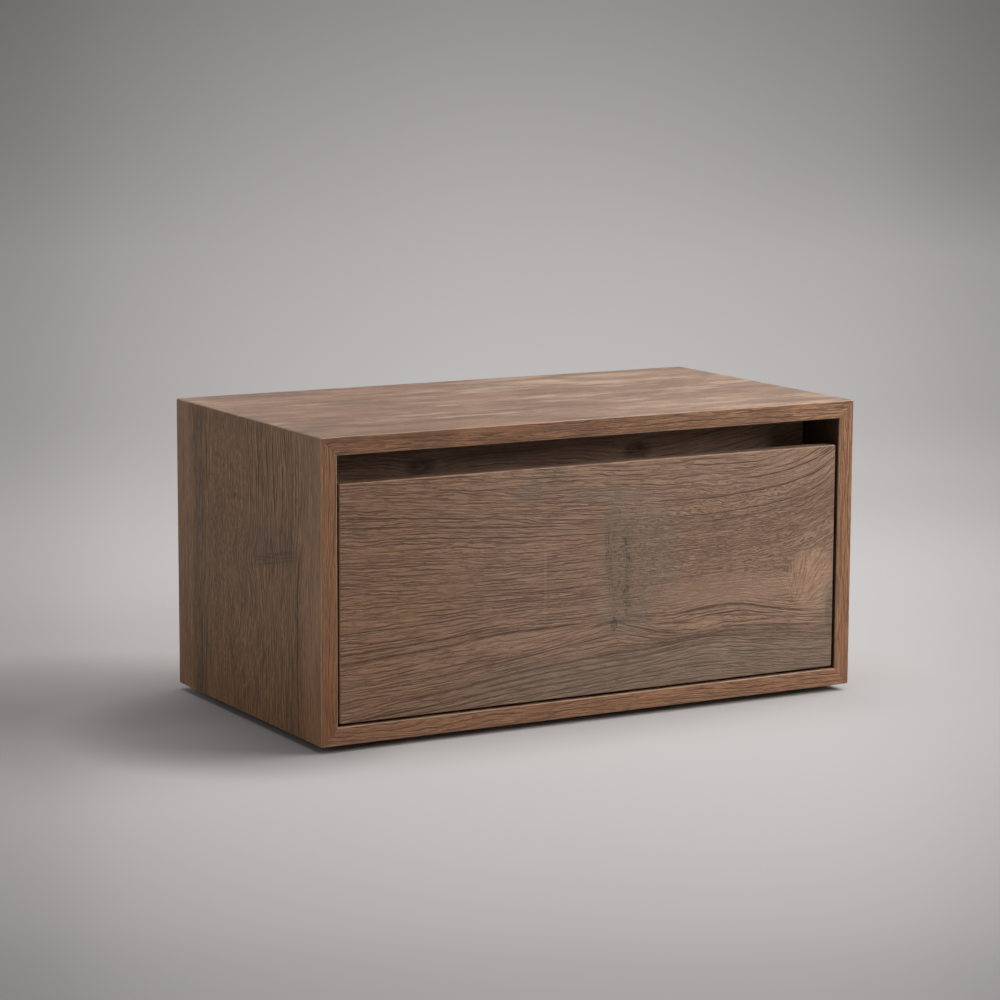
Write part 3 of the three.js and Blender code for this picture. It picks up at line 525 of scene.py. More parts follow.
def oak_board(board, lines=None, pores=1.0, scaly=None, streaks=1.0, calm=None):
    """Colour and relief of brushed oak from a board's grain.

    Rings and dashes along the grain make it dark, and pores says by how much. Where scaly is high
    they break into short, interlocked marks, and where calm is high they fade. lines are the drawn
    growth lines, and streaks is the strength of the paler and darker streaks.
    """
    graph = board.graph
    for amount, long, tall in OAK_WAVES:
        board.wave(amount, long, tall)
    if scaly is not None:
        board.grain = board.grain + (board.noise(*SCALE_WAVE) - 0.5) * scaly * 6
    broad = board.noise(*BROAD)
    streak = board.noise(*STREAK)
    dash = board.noise(*DASH)
    gather = board.noise(*GATHERING).ramp(0.35, 0.62)
    colour = graph.layers(OAK, [
        (broad, 0.5, 0.3, 0.11 * streaks, OAK_DARK),
        (broad, 0.5, 0.75, 0.1 * streaks, OAK_LIGHT),
        (board.noise(*CLOUD), 0.5, 0.32, 0.1 * streaks, OAK_DARK),
        (board.noise(*BLUSH), 0.48, 0.72, 0.3, OAK_RED),
        (streak, 0.5, 0.33, 0.07 * streaks, OAK_DARK),
        (streak, 0.5, 0.7, 0.07 * streaks, OAK_LIGHT),
        (board.noise(*THREAD), 0.46, 0.36, 0.35, OAK_LIGHT),
    ])
    dark = growth_rings(board, gather)
    dark = dark.over(board.noise(*CONTOUR).near(0.54, 0.05) * 0.35)
    dark = dark.over(dash.ramp(0.57, 0.64) * (0.4 + gather * 0.2))
    if scaly is not None:
        marks = board.noise(*SCALE).ramp(0.53, 0.62) * scaly * 0.75
        dark = (dark * (1 - scaly * 0.4)).over(marks)
    dark = dark * pores + board.noise(*PORE).ramp(0.52, 0.68) * 0.18
    if calm is not None:
        dark = dark * (1 - calm * 0.75)
    if lines is not None:
        dark = dark.over(lines * dash.ramp(0.36, 0.54, 0.72, 1.15))
    dark = dark.capped()
    colour = graph.mix(dark * 0.94, colour, OAK_PORE)
    colour = graph.mix(board.end * 0.45, colour, OAK_DARK)
    return colour, streak * 0.25 - dark


def oak_finish(board, colour, relief, tint=None):
    """Closes an oak material: its front's tint, painted shade on the inner faces and a painted
    highlight with wear on the arrises.
    """
    graph = board.graph
    if tint is not None:
        colour = graph.tint(board.front, colour, tint)
    # Painted shade: the faces that turn inward, into the reveals, are darkened.
    colour = graph.tint(board.inside, colour, INSIDE_PAINTED_SHADE)
    # Painted highlight with wear: the rounded arrises are paler, like edges catching the light.
    colour = graph.mix(board.arris * (0.3 + board.noise(12, 12) * 0.6), colour, OAK_LIGHT)
    roughness = 0.52 + relief * -0.06 + board.noise(60, 20) * 0.12
    return graph.finish(colour, roughness, relief, RELIEF, Specular_IOR_Level=0.35)


def front_fibres(board):
    """Noise in the fine fibres of the swirl, which fan out from its lower left."""
    reach, drop = board.along - SWIRL_FOOT[0], board.down - SWIRL_FOOT[1]
    fan = board.graph.math("ARCTAN2", drop, reach) * 24
    distance = (reach ** 2 + drop ** 2) ** 0.5
    return board.graph.noise(fan, distance / 13, 4.4, 1.5)


def front_knot(board, wobble, core, swirl, fibres):
    """The drawer front's knot and smaller dark marks.

    Broken dashes stand at both sides of the grey band, with mottled wood beside it.
    """
    graph, down = board.graph, board.down
    bent = board.along + wobble * 12
    upright = graph.noise(bent / 2.2, down / 7, 9.1).ramp(0.52, 0.64)
    mottle = graph.noise(bent / 4.2, down / 3.6, 3.9).ramp(0.52, 0.64)
    rims = sum(bent.near(place, width) * down.span(*reach) for place, width, reach in KNOT_RIMS)
    knot = rims * (0.3 + upright * 0.8)
    knot = knot + board.spot(*KNOT_FOOT) * (0.4 + upright * 0.5)
    knot = knot + board.spot(*BESIDE_KNOT) * mottle * 0.34 + core * (0.16 + mottle * 0.3)
    knot = knot + board.spots(BESIDE_SWIRL) * upright + board.spot(*FRONT_END) * 0.45
    return (knot + fibres.ramp(0.54, 0.64) * swirl * 0.4).capped()


def front_oak():
    """The drawer front, with its knots, its lens of grain and its swirl."""
    low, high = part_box("drawer_front")
    corner = (low.x / MM, high.z / MM)
    board = Board("oak_drawer_front", ("x", 1), ("z", -1), corner, 1)
    graph, along, down = board.graph, board.along, board.down
    board.grain = grain_from_guides(graph, along, down, FRONT_GUIDES, FRONT_LEVELS)
    wobble = graph.noise(along / 26, down / 22, 3.1, 1.5) - 0.5
    lines = growth_lines(along, board.grain + wobble * 1.6, FRONT_LINES, FRONT_LEVELS)
    scaly = board.spot(*FRONT_SCALY) * 0.8
    swirl = board.spot(*FRONT_SWIRL)
    place, width, reach = KNOT_CORE
    core = (along + wobble * 10).near(place, width) * down.span(*reach)
    warm = (board.spots(FRONT_WARM) + swirl).capped()
    calm = (core * 0.25 + warm * 0.35 + swirl * 0.6).capped()
    colour, relief = oak_board(board, lines, scaly=scaly, calm=calm)

    cloud = graph.noise(along / 16, down / 9, 7.7, 2.5)
    grey = board.spots(FRONT_GREY) + down.ramp(158, 188) * along.ramp(60, 260) * 0.9
    grey = (grey * (0.3 + cloud) + core * 0.9).capped()
    colour = graph.mix(0.15, colour, OAK)
    colour = graph.mix(warm * 0.28, colour, OAK_WARM)
    colour = graph.mix(grey * 0.65, colour, OAK_GREY)

    fibres = front_fibres(board)
    knot = front_knot(board, wobble, core, swirl, fibres)
    place, width, reach = SCAR
    scar = (along + wobble * 3).near(place, width) * down.span(*reach)
    colour = graph.mix(fibres.ramp(0.48, 0.34) * swirl * 0.5, colour, OAK_LIGHT)
    colour = graph.mix(knot * 0.6, colour, OAK_PORE)
    colour = graph.mix(scar * 0.2, colour, OAK_LIGHT)
    # Painted shade, and a redder tone, towards the left end of the front.
    colour = graph.tint(along.ramp(210, 10), colour, FRONT_LEFT_PAINTED_SHADE)
    # Painted shade: darker towards the bottom of the front, more to the right.
    low_painted_shade = down.ramp(150, 205) * (0.4 + along.ramp(60, 480) * 0.6)
    colour = graph.tint(low_painted_shade, colour, FRONT_LOW_PAINTED_SHADE)
    return oak_finish(board, colour, relief - knot * 0.7)


def side_board(name, face, seed):
    """A side's board, with upright grain."""
    low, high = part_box(face)
    return Board(name, ("z", -1), ("y", -1), (high.z / MM, high.y / MM), seed)


def left_side_knot(board, wobble, ripples):
    """The left side's knot: a dark smear and thin lines that rise to the front."""
    graph, down = board.graph, board.down
    level = board.along - SIDE_KNOT[0] + (down - SIDE_KNOT[1]) * SIDE_KNOT_RISE
    smear = graph.noise(level / 1.5, down / 24, 2.2, 1.5).ramp(0.5, 0.62)
    knot = graph.spot(level, down, *SIDE_SMEAR) * (0.1 + smear * 0.35)
    knot = knot + graph.spot(level, down, *SIDE_EYE) * 0.4
    for place, width, reach, share in SIDE_KNOT_LINES:
        knot = knot + (level + wobble * 3).near(place, width) * down.span(*reach) * share
    return (knot + ripples * 0.35).capped()


def left_side_oak():
    """The left side, with the knot, the grey patch and the lines that the photo shows."""
    board = side_board("oak_left_side", "left_side", 2)
    graph, along, down = board.graph, board.along, board.down
    board.grain = grain_from_guides(graph, along, down, SIDE_GUIDES, SIDE_LEVELS)
    wobble = graph.noise(along / 30, down / 12, 5.3, 1.5) - 0.5
    lines = growth_lines(along, board.grain + wobble * 2, SIDE_LINES, SIDE_LEVELS)
    smooth = (down.ramp(44, 16) + down.ramp(250, 280)) * 0.6
    scaly = board.spot(*SIDE_SCALY) * 0.8
    colour, relief = oak_board(board, lines * 0.95, scaly=scaly, calm=smooth)

    # Ripples that lean to the right, low on the board
    across, upward = down + along * RIPPLE_LEAN, along - down * RIPPLE_LEAN
    ripple = graph.noise(across / 2.8, upward / 12, 6.6, 1.2)
    rippled = board.spot(*SIDE_RIPPLES)
    knot = left_side_knot(board, wobble, ripple.ramp(0.53, 0.66) * rippled)
    # A blue-grey patch over the knot, a band along the board and a shade at its top
    cloud = graph.noise(along / 17, down / 11, 2.9, 2.5)
    shade = board.spot(*SIDE_PATCH) * 0.8 + (down + wobble * 12).span(*SIDE_BAND) * 0.75
    shade = shade * (0.3 + cloud * 0.9) + board.spot(*SIDE_TOP) * cloud * 0.5
    colour = graph.mix(shade.capped() * 0.6, colour, SIDE_SHADE)
    colour = graph.mix(ripple.ramp(0.46, 0.33) * rippled * 0.4, colour, OAK_LIGHT)
    colour = graph.mix(knot * 0.75, colour, OAK_PORE)
    # Painted shade: darker towards the bottom of the side, where the floor shades it.
    colour = graph.tint(along.ramp(130, 262), colour, SIDE_LOW_PAINTED_SHADE)
    paler = graph.mix(0.02, graph.tint(1.0, colour, SIDE_TINT), OAK_LIGHT)
    colour = graph.mix(board.front, paler, graph.mix(0.2, colour, OAK_DARK))
    return oak_finish(board, colour, relief - knot * 0.6, EDGE_TINT)


def right_side_oak():
    """The right side, which the photo doesn't show."""
    board = side_board("oak_right_side", "right_side", 6)
    graph = board.graph
    board.wave(30, 260, 70)
    vein = board.noise(240, 13)
    lines = vein.near(0.5, 0.035).over(vein.near(0.4, 0.03)) * 0.55
    colour, relief = oak_board(board, lines, pores=0.62, streaks=1.6)
    colour = graph.mix(1 - board.front, colour, graph.mix(0.3, colour, OAK_DARK))
    colour = graph.mix(board.front * 0.12, colour, OAK_LIGHT)
    return oak_finish(board, colour, relief, EDGE_TINT)


def flat_board(name, node, seed):
    """The board of the top or the bottom, with grain from left to right."""
    low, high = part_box(node)
    board = Board(name, ("x", 1), ("y", -1), (low.x / MM, high.y / MM), seed)
    board.wave(12, 260, 60)
    return board


def bottom_oak():
    board = flat_board("oak_bottom_panel", "bottom_panel", 5)
    colour, relief = oak_board(board, pores=0.8)
    return oak_finish(board, colour, relief, EDGE_TINT)


def top_oak():
    """The top, with redder smudges at the left and a pale curl at the back right."""
    board = flat_board("oak_top_panel", "top_panel", 3)
    graph, along, down = board.graph, board.along, board.down
    curl = board.spot(*TOP_CURL)
    reach, drop = (along - TOP_CURL_MIDDLE[0]) / TOP_CURL_STRETCH, down - TOP_CURL_MIDDLE[1]
    board.grain = board.grain + (((reach ** 2 + drop ** 2) ** 0.5) - board.grain) * curl * 0.6
    colour, relief = oak_board(board, streaks=1.3)
    smudge = board.noise(80, 20, 3.5, 0.6)
    band = board.noise(130, 22, 3.0, 0.55)
    above = 1 - board.front
    even = 0.3 + above * 0.7
    colour = graph.layers(colour, [
        (smudge, 0.5, 0.62, even * 0.95, OAK_DARK),
        (smudge, 0.48, 0.35, even * 0.85, OAK_LIGHT),
    ])
    colour = graph.veins(colour, board.noise(130, 15, 2.5), TOP_VEINS, OAK_DARK)
    colour = graph.layers(colour, [
        (band, 0.48, 0.6, along.ramp(500, 250, 0.2, 0.6), TOP_RED),
        (band, 0.52, 0.36, curl * 0.7, TOP_CURL_SHADE),
    ])
    colour = graph.mix(0.06 + above * 0.14, colour, TOP_HAZE)
    # Painted shade, and a redder tone, towards the left of the top.
    colour = graph.tint(along.ramp(420, 60), colour, TOP_LEFT_PAINTED_SHADE)
    return oak_finish(board, colour, relief, EDGE_TINT)


def rail_oak():
    """The recess rail, with the two small knots that show in the finger gap."""
    low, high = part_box("recess_rail")
    board = Board("oak_recess_rail", ("x", 1), ("z", -1), (low.x / MM, high.z / MM), 9)
    graph, along = board.graph, board.along
    board.grain = grain_from_guides(graph, along, board.down, RAIL_GUIDES, RAIL_LEVELS)
    lines = growth_lines(along, board.grain, RAIL_LINES, RAIL_LEVELS)
    colour, relief = oak_board(board, lines, streaks=2.2)
    knots = board.spots(RAIL_KNOTS) * (0.2 + board.noise(7, 3) * 0.8)
    colour = graph.mix(knots, graph.mix(0.36, colour, OAK_LIGHT), OAK_PORE)
    return oak_finish(board, colour, relief)


# Other woods

BIRCH_PALE = tone(224, 200, 168)
BIRCH_DARK = tone(202, 170, 133)
BIRCH_LINE = tone(178, 142, 104)
PLY_DARK = tone(140, 101, 66)
BEECH_PALE = tone(208, 168, 126)
BEECH_DARK = tone(176, 132, 92)
PLY = 1.2  # thickness of a veneer
SOLID_VEINS = [(level, 0.03, 0.45) for level in (0.36, 0.45, 0.53, 0.62)]
PLY_VEINS = [(level, 0.022, 0.4) for level in (0.36, 0.44, 0.5, 0.56, 0.64)]


def plain_wood(name, axis, across, seed, pale, dark):
    """Solid birch or beech: pale, close-grained and lacquered."""
    board = Board(name, (axis, 1), (across, 1), (0, 0), seed)
    graph = board.graph
    board.wave(9, 150, 40)
    broad = board.noise(260, 16, 2.5)
    fine = board.noise(90, 2.2)
    flecks = board.noise(3.2, 0.7, 0.5).ramp(0.6, 0.72)
    colour = graph.mix(broad.ramp(0.3, 0.72) * 0.7, pale, dark)
    colour = graph.veins(colour, board.noise(300, 12, 1.5), SOLID_VEINS, dark)
    colour = graph.mix(fine.ramp(0.5, 0.36) * 0.4, colour, dark)
    colour = graph.mix(flecks * 0.25, colour, dark)
    colour = graph.mix(board.end * 0.5, colour, dark)
    relief = fine * 0.5 - flecks * 0.4
    return graph.finish(colour, 0.42 + fine * 0.12, relief, 0.12, Specular_IOR_Level=0.4)


def plywood(name, axis, across, through):
    """Birch plywood: faces like birch, edges in pale and dark veneers."""
    board = Board(name, (axis, 1), (across, 1), (0, 0), 4)
    graph = board.graph
    board.wave(26, 160, 60)
    broad = board.noise(240, 26, 3.5, 0.6)
    fine = board.noise(60, 1.6)
    flecks = board.noise(4, 0.8, 0.5).ramp(0.6, 0.7)
    colour = graph.mix(broad.ramp(0.3, 0.7) * 0.6, BIRCH_PALE, BIRCH_DARK)
    colour = graph.veins(colour, board.noise(210, 30), PLY_VEINS, BIRCH_LINE)
    colour = graph.mix(fine.ramp(0.5, 0.36) * 0.35, colour, BIRCH_DARK)
    colour = graph.mix(flecks * 0.3, colour, BIRCH_LINE)
    layer = (board.depth / (2 * PLY)).fraction()
    veneer = layer.ramp(0.46, 0.54) * 0.6 + layer.near(0.5, 0.05) * 0.4
    rim = 1 - abs(board.facing[through]).ramp(0.4, 0.7)
    colour = graph.mix(rim, colour, graph.mix(veneer, BIRCH_DARK, PLY_DARK))
    return graph.finish(colour, 0.45 + fine * 0.1, fine, 0.08, Specular_IOR_Level=0.4)


# Metal and plastic

ZINC = tone(196, 199, 204)
CAGE_STEEL = tone(158, 160, 163)
BALL_STEEL = tone(214, 216, 220)
SCREW_ZINC = tone(206, 206, 202)
BLACK = tone(32, 32, 34)
GLIDE_WHITE = tone(214, 211, 203)


def rolled_metal(name, colour, seed, roughness=0.34, spangle=0.5):
    """Zinc-plated sheet: faint rolling lines along it, cloudy plating and a little grime."""
    graph = Graph(name)
    x, y, z = graph.place()
    lines = graph.noise(x / 1.3 + seed, y / 60, z / 1.3)
    clouds = graph.noise(x / 9, y / 14 + seed, z / 9, 3.0)
    grain = graph.noise(x / 0.5, y / 0.9, z / 0.5, 1.0)
    dull = scaled(colour, 0.72)
    made = graph.layers(colour, [
        (clouds, 0.35, 0.7, spangle, dull),
        (lines, 0.55, 0.75, 0.25, dull),
    ])
    rough = roughness + clouds * 0.16 + lines * 0.08 - 0.1
    return graph.finish(made, rough, lines * 0.6 + grain * 0.25, 0.03, Metallic=1.0)


def polished_metal(name, colour):
    """Bright steel with fine scuffs."""
    graph = Graph(name)
    x, y, z = graph.place()
    scuffs = graph.noise(x / 2.4, y / 2.4, z / 2.4, 3.0)
    made = graph.mix(scuffs.ramp(0.5, 0.8) * 0.4, colour, scaled(colour, 0.7))
    return graph.finish(made, 0.12 + scuffs * 0.14, scuffs, 0.01, Metallic=1.0)


def moulded_plastic(name, colour, roughness):
    """Moulded plastic with the fine spark-eroded texture of its tool."""
    graph = Graph(name)
    x, y, z = graph.place()
    stipple = graph.noise(x / 0.45, y / 0.45, z / 0.45, 1.0)
    clouds = graph.noise(x / 12, y / 12, z / 12)
    paler = (*(min(1.0, part * 1.35 + 0.01) for part in colour[:3]), 1.0)
    made = graph.mix(clouds.ramp(0.45, 0.75) * 0.5, colour, paler)
    return graph.finish(made, roughness + stipple * 0.12, stipple, 0.04)


# Pieces

SOFT_SEGMENTS = 2
SHARP = math.radians(25)  # an edge that turns by more is rounded


def paint(name, material):
    """Gives a CAD node its material in every slot."""
    mesh = nodes[name].data
    if not mesh.materials:
        mesh.materials.append(material)
    for i in range(len(mesh.materials)):
        mesh.materials[i] = material


def soften(name, width):
    """Rounds the sharp edges of a CAD node, by a width in millimetres."""
    bevel = nodes[name].modifiers.new("soft edges", "BEVEL")
    bevel.width = width * MM
    bevel.segments = SOFT_SEGMENTS
    bevel.limit_method = "ANGLE"
    bevel.angle_limit = SHARP
    bevel.harden_normals = True


def add_object(name, data):
    made = bpy.data.objects.new(name, data)
    bpy.context.scene.collection.objects.link(made)
    return made


def new_piece(name, mesh, material, body):
    mesh.update()
    made = add_object(name, mesh)
    mesh.materials.append(material)
    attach(made, body)
    return made


def finished_mesh(bm, name, smooth):
    for face in bm.faces:
        face.smooth = smooth
    mesh = bpy.data.meshes.new(name)
    bm.to_mesh(mesh)
    bm.free()
    return mesh


def ring(bm, radius, height, sides):
    """A ring of points about the z axis."""
    turns = [2 * math.pi * i / sides for i in range(sides)]
    return [bm.verts.new((radius * math.cos(t), radius * math.sin(t), height)) for t in turns]


def skin(bm, lower, upper):
    """Faces between two rings of as many points."""
    for i in range(len(lower)):
        j = (i + 1) % len(lower)
        bm.faces.new((lower[i], lower[j], upper[j], upper[i]))


CROSS_ARM = 0.52  # reach of the recess, as a share of the head's radius
CROSS_WIDTH = 0.13
CROSS_DEPTH = 0.9
CROSS_TAPER = 0.45
HEAD_SIDES = 24
TIP_SHARE = 0.12  # of the shank's radius


def cross_ring(bm, arm, width, height):
    """The outline of a four-armed recess, as a ring of points."""
    corners = [(arm, width), (width, width), (width, arm)]
    made = []
    for quarter in range(4):
        turn = Matrix.Rotation(quarter * math.pi / 2, 2)
        for corner in corners:
            spot = turn @ Vector(corner)
            made.append(bm.verts.new((spot.x, spot.y, height)))
    return made


def screw_mesh(name, head, head_height, shank, length, tip):
    """A countersunk screw with a four-armed recess. Its head is up at z = 0, its tip down."""
    bm = bmesh.new()
    rim = ring(bm, head, 0, HEAD_SIDES)
    recess = cross_ring(bm, head * CROSS_ARM, head * CROSS_WIDTH, 0)
    depth = head_height * CROSS_DEPTH
    arm = head * CROSS_ARM * CROSS_TAPER
    floor = cross_ring(bm, arm, head * CROSS_WIDTH * CROSS_TAPER, -depth)
    edges = []
    for loop in (rim, recess):
        for i in range(len(loop)):
            edges.append(bm.edges.new((loop[i], loop[(i + 1) % len(loop)])))
    bmesh.ops.triangle_fill(bm, use_beauty=True, edges=edges)
    skin(bm, floor, recess)
    bm.faces.new(floor)
    neck = ring(bm, shank, -head_height, HEAD_SIDES)
    waist = ring(bm, shank, tip - length, HEAD_SIDES)
    end = ring(bm, shank * TIP_SHARE, -length, HEAD_SIDES)
    skin(bm, neck, rim)
    skin(bm, waist, neck)
    skin(bm, end, waist)
    bm.faces.new(list(reversed(end)))
    bmesh.ops.recalc_face_normals(bm, faces=bm.faces)
    return finished_mesh(bm, name, smooth=False)


def place_screw(node, direction, sizes, body, material):
    """Puts a finer screw in the place of a CAD screw that points along direction."""
    low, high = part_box(node)
    middle = (low + high) / 2
    length = sizes[3]
    mesh = screw_mesh(f"{node}_fine", *sizes)
    turn = (-direction).to_track_quat("Z", "Y").to_matrix().to_4x4()
    mesh.transform(Matrix.Translation(middle - direction * length / 2) @ turn)
    piece = new_piece(f"{node}_fine", mesh, material, body)
    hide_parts(node)


def cage_balls(node, body, hand, ball, material):
    """The balls of a cage, as true spheres over the coarser ones of the part."""
    out, rise, radius = ball
    low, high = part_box(node)
    start, end = low.y + CAGE_END, high.y - CAGE_END
    bm = bmesh.new()
    for i in range(BALLS_IN_ROW):
        y = start + (end - start) * i / (BALLS_IN_ROW - 1)
        for side in (-1, 1):
            spot = Vector((hand * (SLIDE_WEB - out), y, SLIDE_MIDDLE + side * rise))
            bmesh.ops.create_uvsphere(
                bm, u_segments=BALL_SIDES, v_segments=BALL_RINGS, radius=radius,
                matrix=Matrix.Translation(spot),
            )
    mesh = finished_mesh(bm, f"{node}_balls", smooth=True)
    new_piece(f"{node}_balls", mesh, material, body)


def dress_cabinet():
    paint("top_panel", top_oak())
    paint("bottom_panel", bottom_oak())
    paint("left_side", left_side_oak())
    paint("right_side", right_side_oak())
    paint("recess_rail", rail_oak())
    paint("back_panel", plywood("birch_ply_back", "x", "z", "y"))
    cleat = plain_wood("beech_cleat", "x", "z", 2, BEECH_PALE, BEECH_DARK)
    for name in ("cabinet_cleat", "wall_cleat"):
        paint(name, cleat)
        soften(name, 0.6)
    spline = plain_wood("beech_spline", "y", "x", 8, BEECH_PALE, BEECH_DARK)
    dowel = plain_wood("beech_dowel", "x", "z", 5, BEECH_PALE, BEECH_DARK)
    for across in ("left", "right"):
        for up in ("top", "bottom"):
            paint(f"mitre_spline_{up}_{across}", spline)
        for up in ("upper", "lower"):
            paint(f"rail_dowel_{across}_{up}", dowel)
    glide = moulded_plastic("glide_plastic", GLIDE_WHITE, 0.45)
    for place in ("front_left", "front_right", "back_left", "back_right"):
        paint(f"glide_{place}", glide)


def dress_drawer():
    paint("drawer_front", front_oak())
    soften("drawer_front", 0.22)
    cross = plain_wood("birch_cross_boards", "x", "z", 3, BIRCH_PALE, BIRCH_DARK)
    side = plain_wood("birch_side_boards", "y", "z", 7, BIRCH_PALE, BIRCH_DARK)
    for name, material in (("front", cross), ("back", cross), ("left", side), ("right", side)):
        paint(f"box_{name}", material)
        soften(f"box_{name}", 0.3)
    paint("box_bottom", plywood("birch_ply_bottom", "x", "y", "z"))


def dress_slides():
    zinc = rolled_metal("zinc_sheet", ZINC, 1)
    cage = rolled_metal("cage_steel", CAGE_STEEL, 5, roughness=0.42, spangle=0.8)
    ball = polished_metal("ball_steel", BALL_STEEL)
    black = moulded_plastic("black_plastic", BLACK, 0.5)
    for name, hand in (("left", -1), ("right", 1)):
        for member in ("cabinet_member", "intermediate_member", "drawer_member"):
            paint(f"{name}_{member}", zinc)
        for row, place in (("outer", OUTER_BALL), ("inner", INNER_BALL)):
            paint(f"{name}_{row}_ball_cage", cage)
            body = f"{name}_{row}_cage"
            cage_balls(f"{name}_{row}_ball_cage", body, hand, place, ball)
        for piece in ("release_lever", "rear_bumper"):
            paint(f"{name}_{piece}", black)
            soften(f"{name}_{piece}", 0.25)


# Screws as in the part: head, head height, shank, length, tip
SLIDE_SCREW = tuple(size * MM for size in (3.5, 1.5, 1.9, 12, 3))
FRONT_SCREW = tuple(size * MM for size in (4, 2.2, 2, 22, 4))
CLEAT_SCREW = tuple(size * MM for size in (4, 2.2, 2, 18, 4))


def dress_screws():
    zinc = polished_metal("zinc_screw", SCREW_ZINC)
    forward, backward = Vector((0, -1, 0)), Vector((0, 1, 0))
    for up in ("upper", "lower"):
        for across in ("left", "right"):
            place_screw(f"front_screw_{up}_{across}", forward, FRONT_SCREW, "drawer", zinc)
    for across in ("left", "middle", "right"):
        place_screw(f"cleat_screw_{across}", backward, CLEAT_SCREW, "cabinet", zinc)
    for name, hand in (("left", -1), ("right", 1)):
        outward = Vector((hand, 0, 0))
        for end in ("front", "rear"):
            place_screw(f"{name}_cabinet_screw_{end}", outward, SLIDE_SCREW, "cabinet", zinc)
            place_screw(f"{name}_drawer_screw_{end}", -outward, SLIDE_SCREW, "drawer", zinc)


# Stage, light and camera

FLOOR_RADII = (0.001, 0.6, 2.2)
WALL_RADIUS = 3.4
SWEEP_RADIUS = 1.0
WALL_HEIGHT = 3.5
STAGE_SIDES = 96
SWEEP_STEPS = 12
STAGE_TINT = (1, 0.967, 0.957)
LIT_RADII = (1.0, 1.6)  # the lamps' light on the stage gives way to its own between these
NEAREST = 1.2

# Where the wall's grey takes over from the floor's: heights, and on the floor distances
WALL_RISE = (0, 0.4)
FAR_FLOOR = (3.6, 5.2)
FAR_SHARE = 0.4
WALL_DIMMING = (-0.1, 0.9, 1.0, 0.5)  # from one height to another, from one share to another

# The plain grey of the rest, and where it takes over: aside, near the camera and high up
PLAIN_GREY = 0.42
PLAIN_ASIDE = (0.18, 0.5)
PLAIN_NEAR = (1.9, 1.2)
PLAIN_HIGH = (0.7, 1.4)

# How the lamps light the empty floor: most at one spot, and less with the distance from it
FLOOR_SPOT = (0.625, -0.252)
FLOOR_REACH = 0.918
FLOOR_LIGHT = 0.942
FLOOR_LEAST = 0.401
FLOOR_PALEST = 0.9

# The sweep's grey, with painted light and shade: by the distance from the camera along its view,
# and by how far aside it is
SWEEP_DEPTH = [
    (1.6, 0.35), (2.03, 0.4), (2.23, 0.485), (2.58, 0.585), (2.9, 0.64), (3.4, 0.645), (4.2, 0.58),
    (4.8, 0.53), (5.5, 0.515), (7, 0.47),
]
FLOOR_ASIDE = [
    (-0.2, 0.52), (-0.1515, 0.645), (-0.108, 0.825), (-0.046, 0.94), (0.02, 0.995), (0.0928, 0.99),
    (0.1237, 0.94), (0.15, 0.85), (0.2, 0.64),
]
WALL_ASIDE = [
    (-0.2, 0.42), (-0.1515, 0.54), (-0.108, 0.73), (-0.046, 0.93), (0.01, 1), (0.0928, 0.84),
    (0.15, 0.56), (0.2, 0.4),
]

# Painted shadow on the floor, at the left of the part: centre, radii, softness, how much darker
FLOOR_PAINTED_SHADOWS = [
    ((-0.31, -0.04), (0.12, 0.14), 0.9, 0.4),
    ((-0.37, 0.18), (0.15, 0.15), 0.9, 0.19),
]


def painted_sweep_light(graph):
    """The grey of the sweep, with painted light and shade: palest under the part, darker outwards
    and up the wall, and a painted shadow at the left of the part.

    It holds where the camera of the photograph looks. The rest of the sweep is plain.
    """
    x, y, z = graph.coordinates("Object")
    away = (x - EYE.x) * math.sin(AZIMUTH) + (y - EYE.y) * math.cos(AZIMUTH)
    aside = (x - EYE.x) * math.cos(AZIMUTH) - (y - EYE.y) * math.sin(AZIMUTH)
    depth = graph.curve(away, SWEEP_DEPTH, 0, 1)
    ratio = aside / away.over(NEAREST)
    low = graph.curve(ratio, FLOOR_ASIDE, 0, 1)
    high = graph.curve(ratio, WALL_ASIDE, 0, 1)
    wall = z.ramp(*WALL_RISE).over(away.ramp(*FAR_FLOOR) * FAR_SHARE)
    shown = depth * z.ramp(*WALL_DIMMING) * (low + (high - low) * wall)
    # Painted shadow: the floor's grey is darkened in these ovals beside the part.
    for centre, radii, soft, darker in FLOOR_PAINTED_SHADOWS:
        shown = shown * (1 - graph.spot(x, y, centre, radii, soft) * darker)
    plain = abs(ratio).ramp(*PLAIN_ASIDE).over(away.ramp(*PLAIN_NEAR)).over(z.ramp(*PLAIN_HIGH))
    return shown + (PLAIN_GREY - shown) * plain


def tinted(graph, grey):
    return graph.node("ShaderNodeCombineColor", *(grey * part for part in STAGE_TINT)).outputs[0]


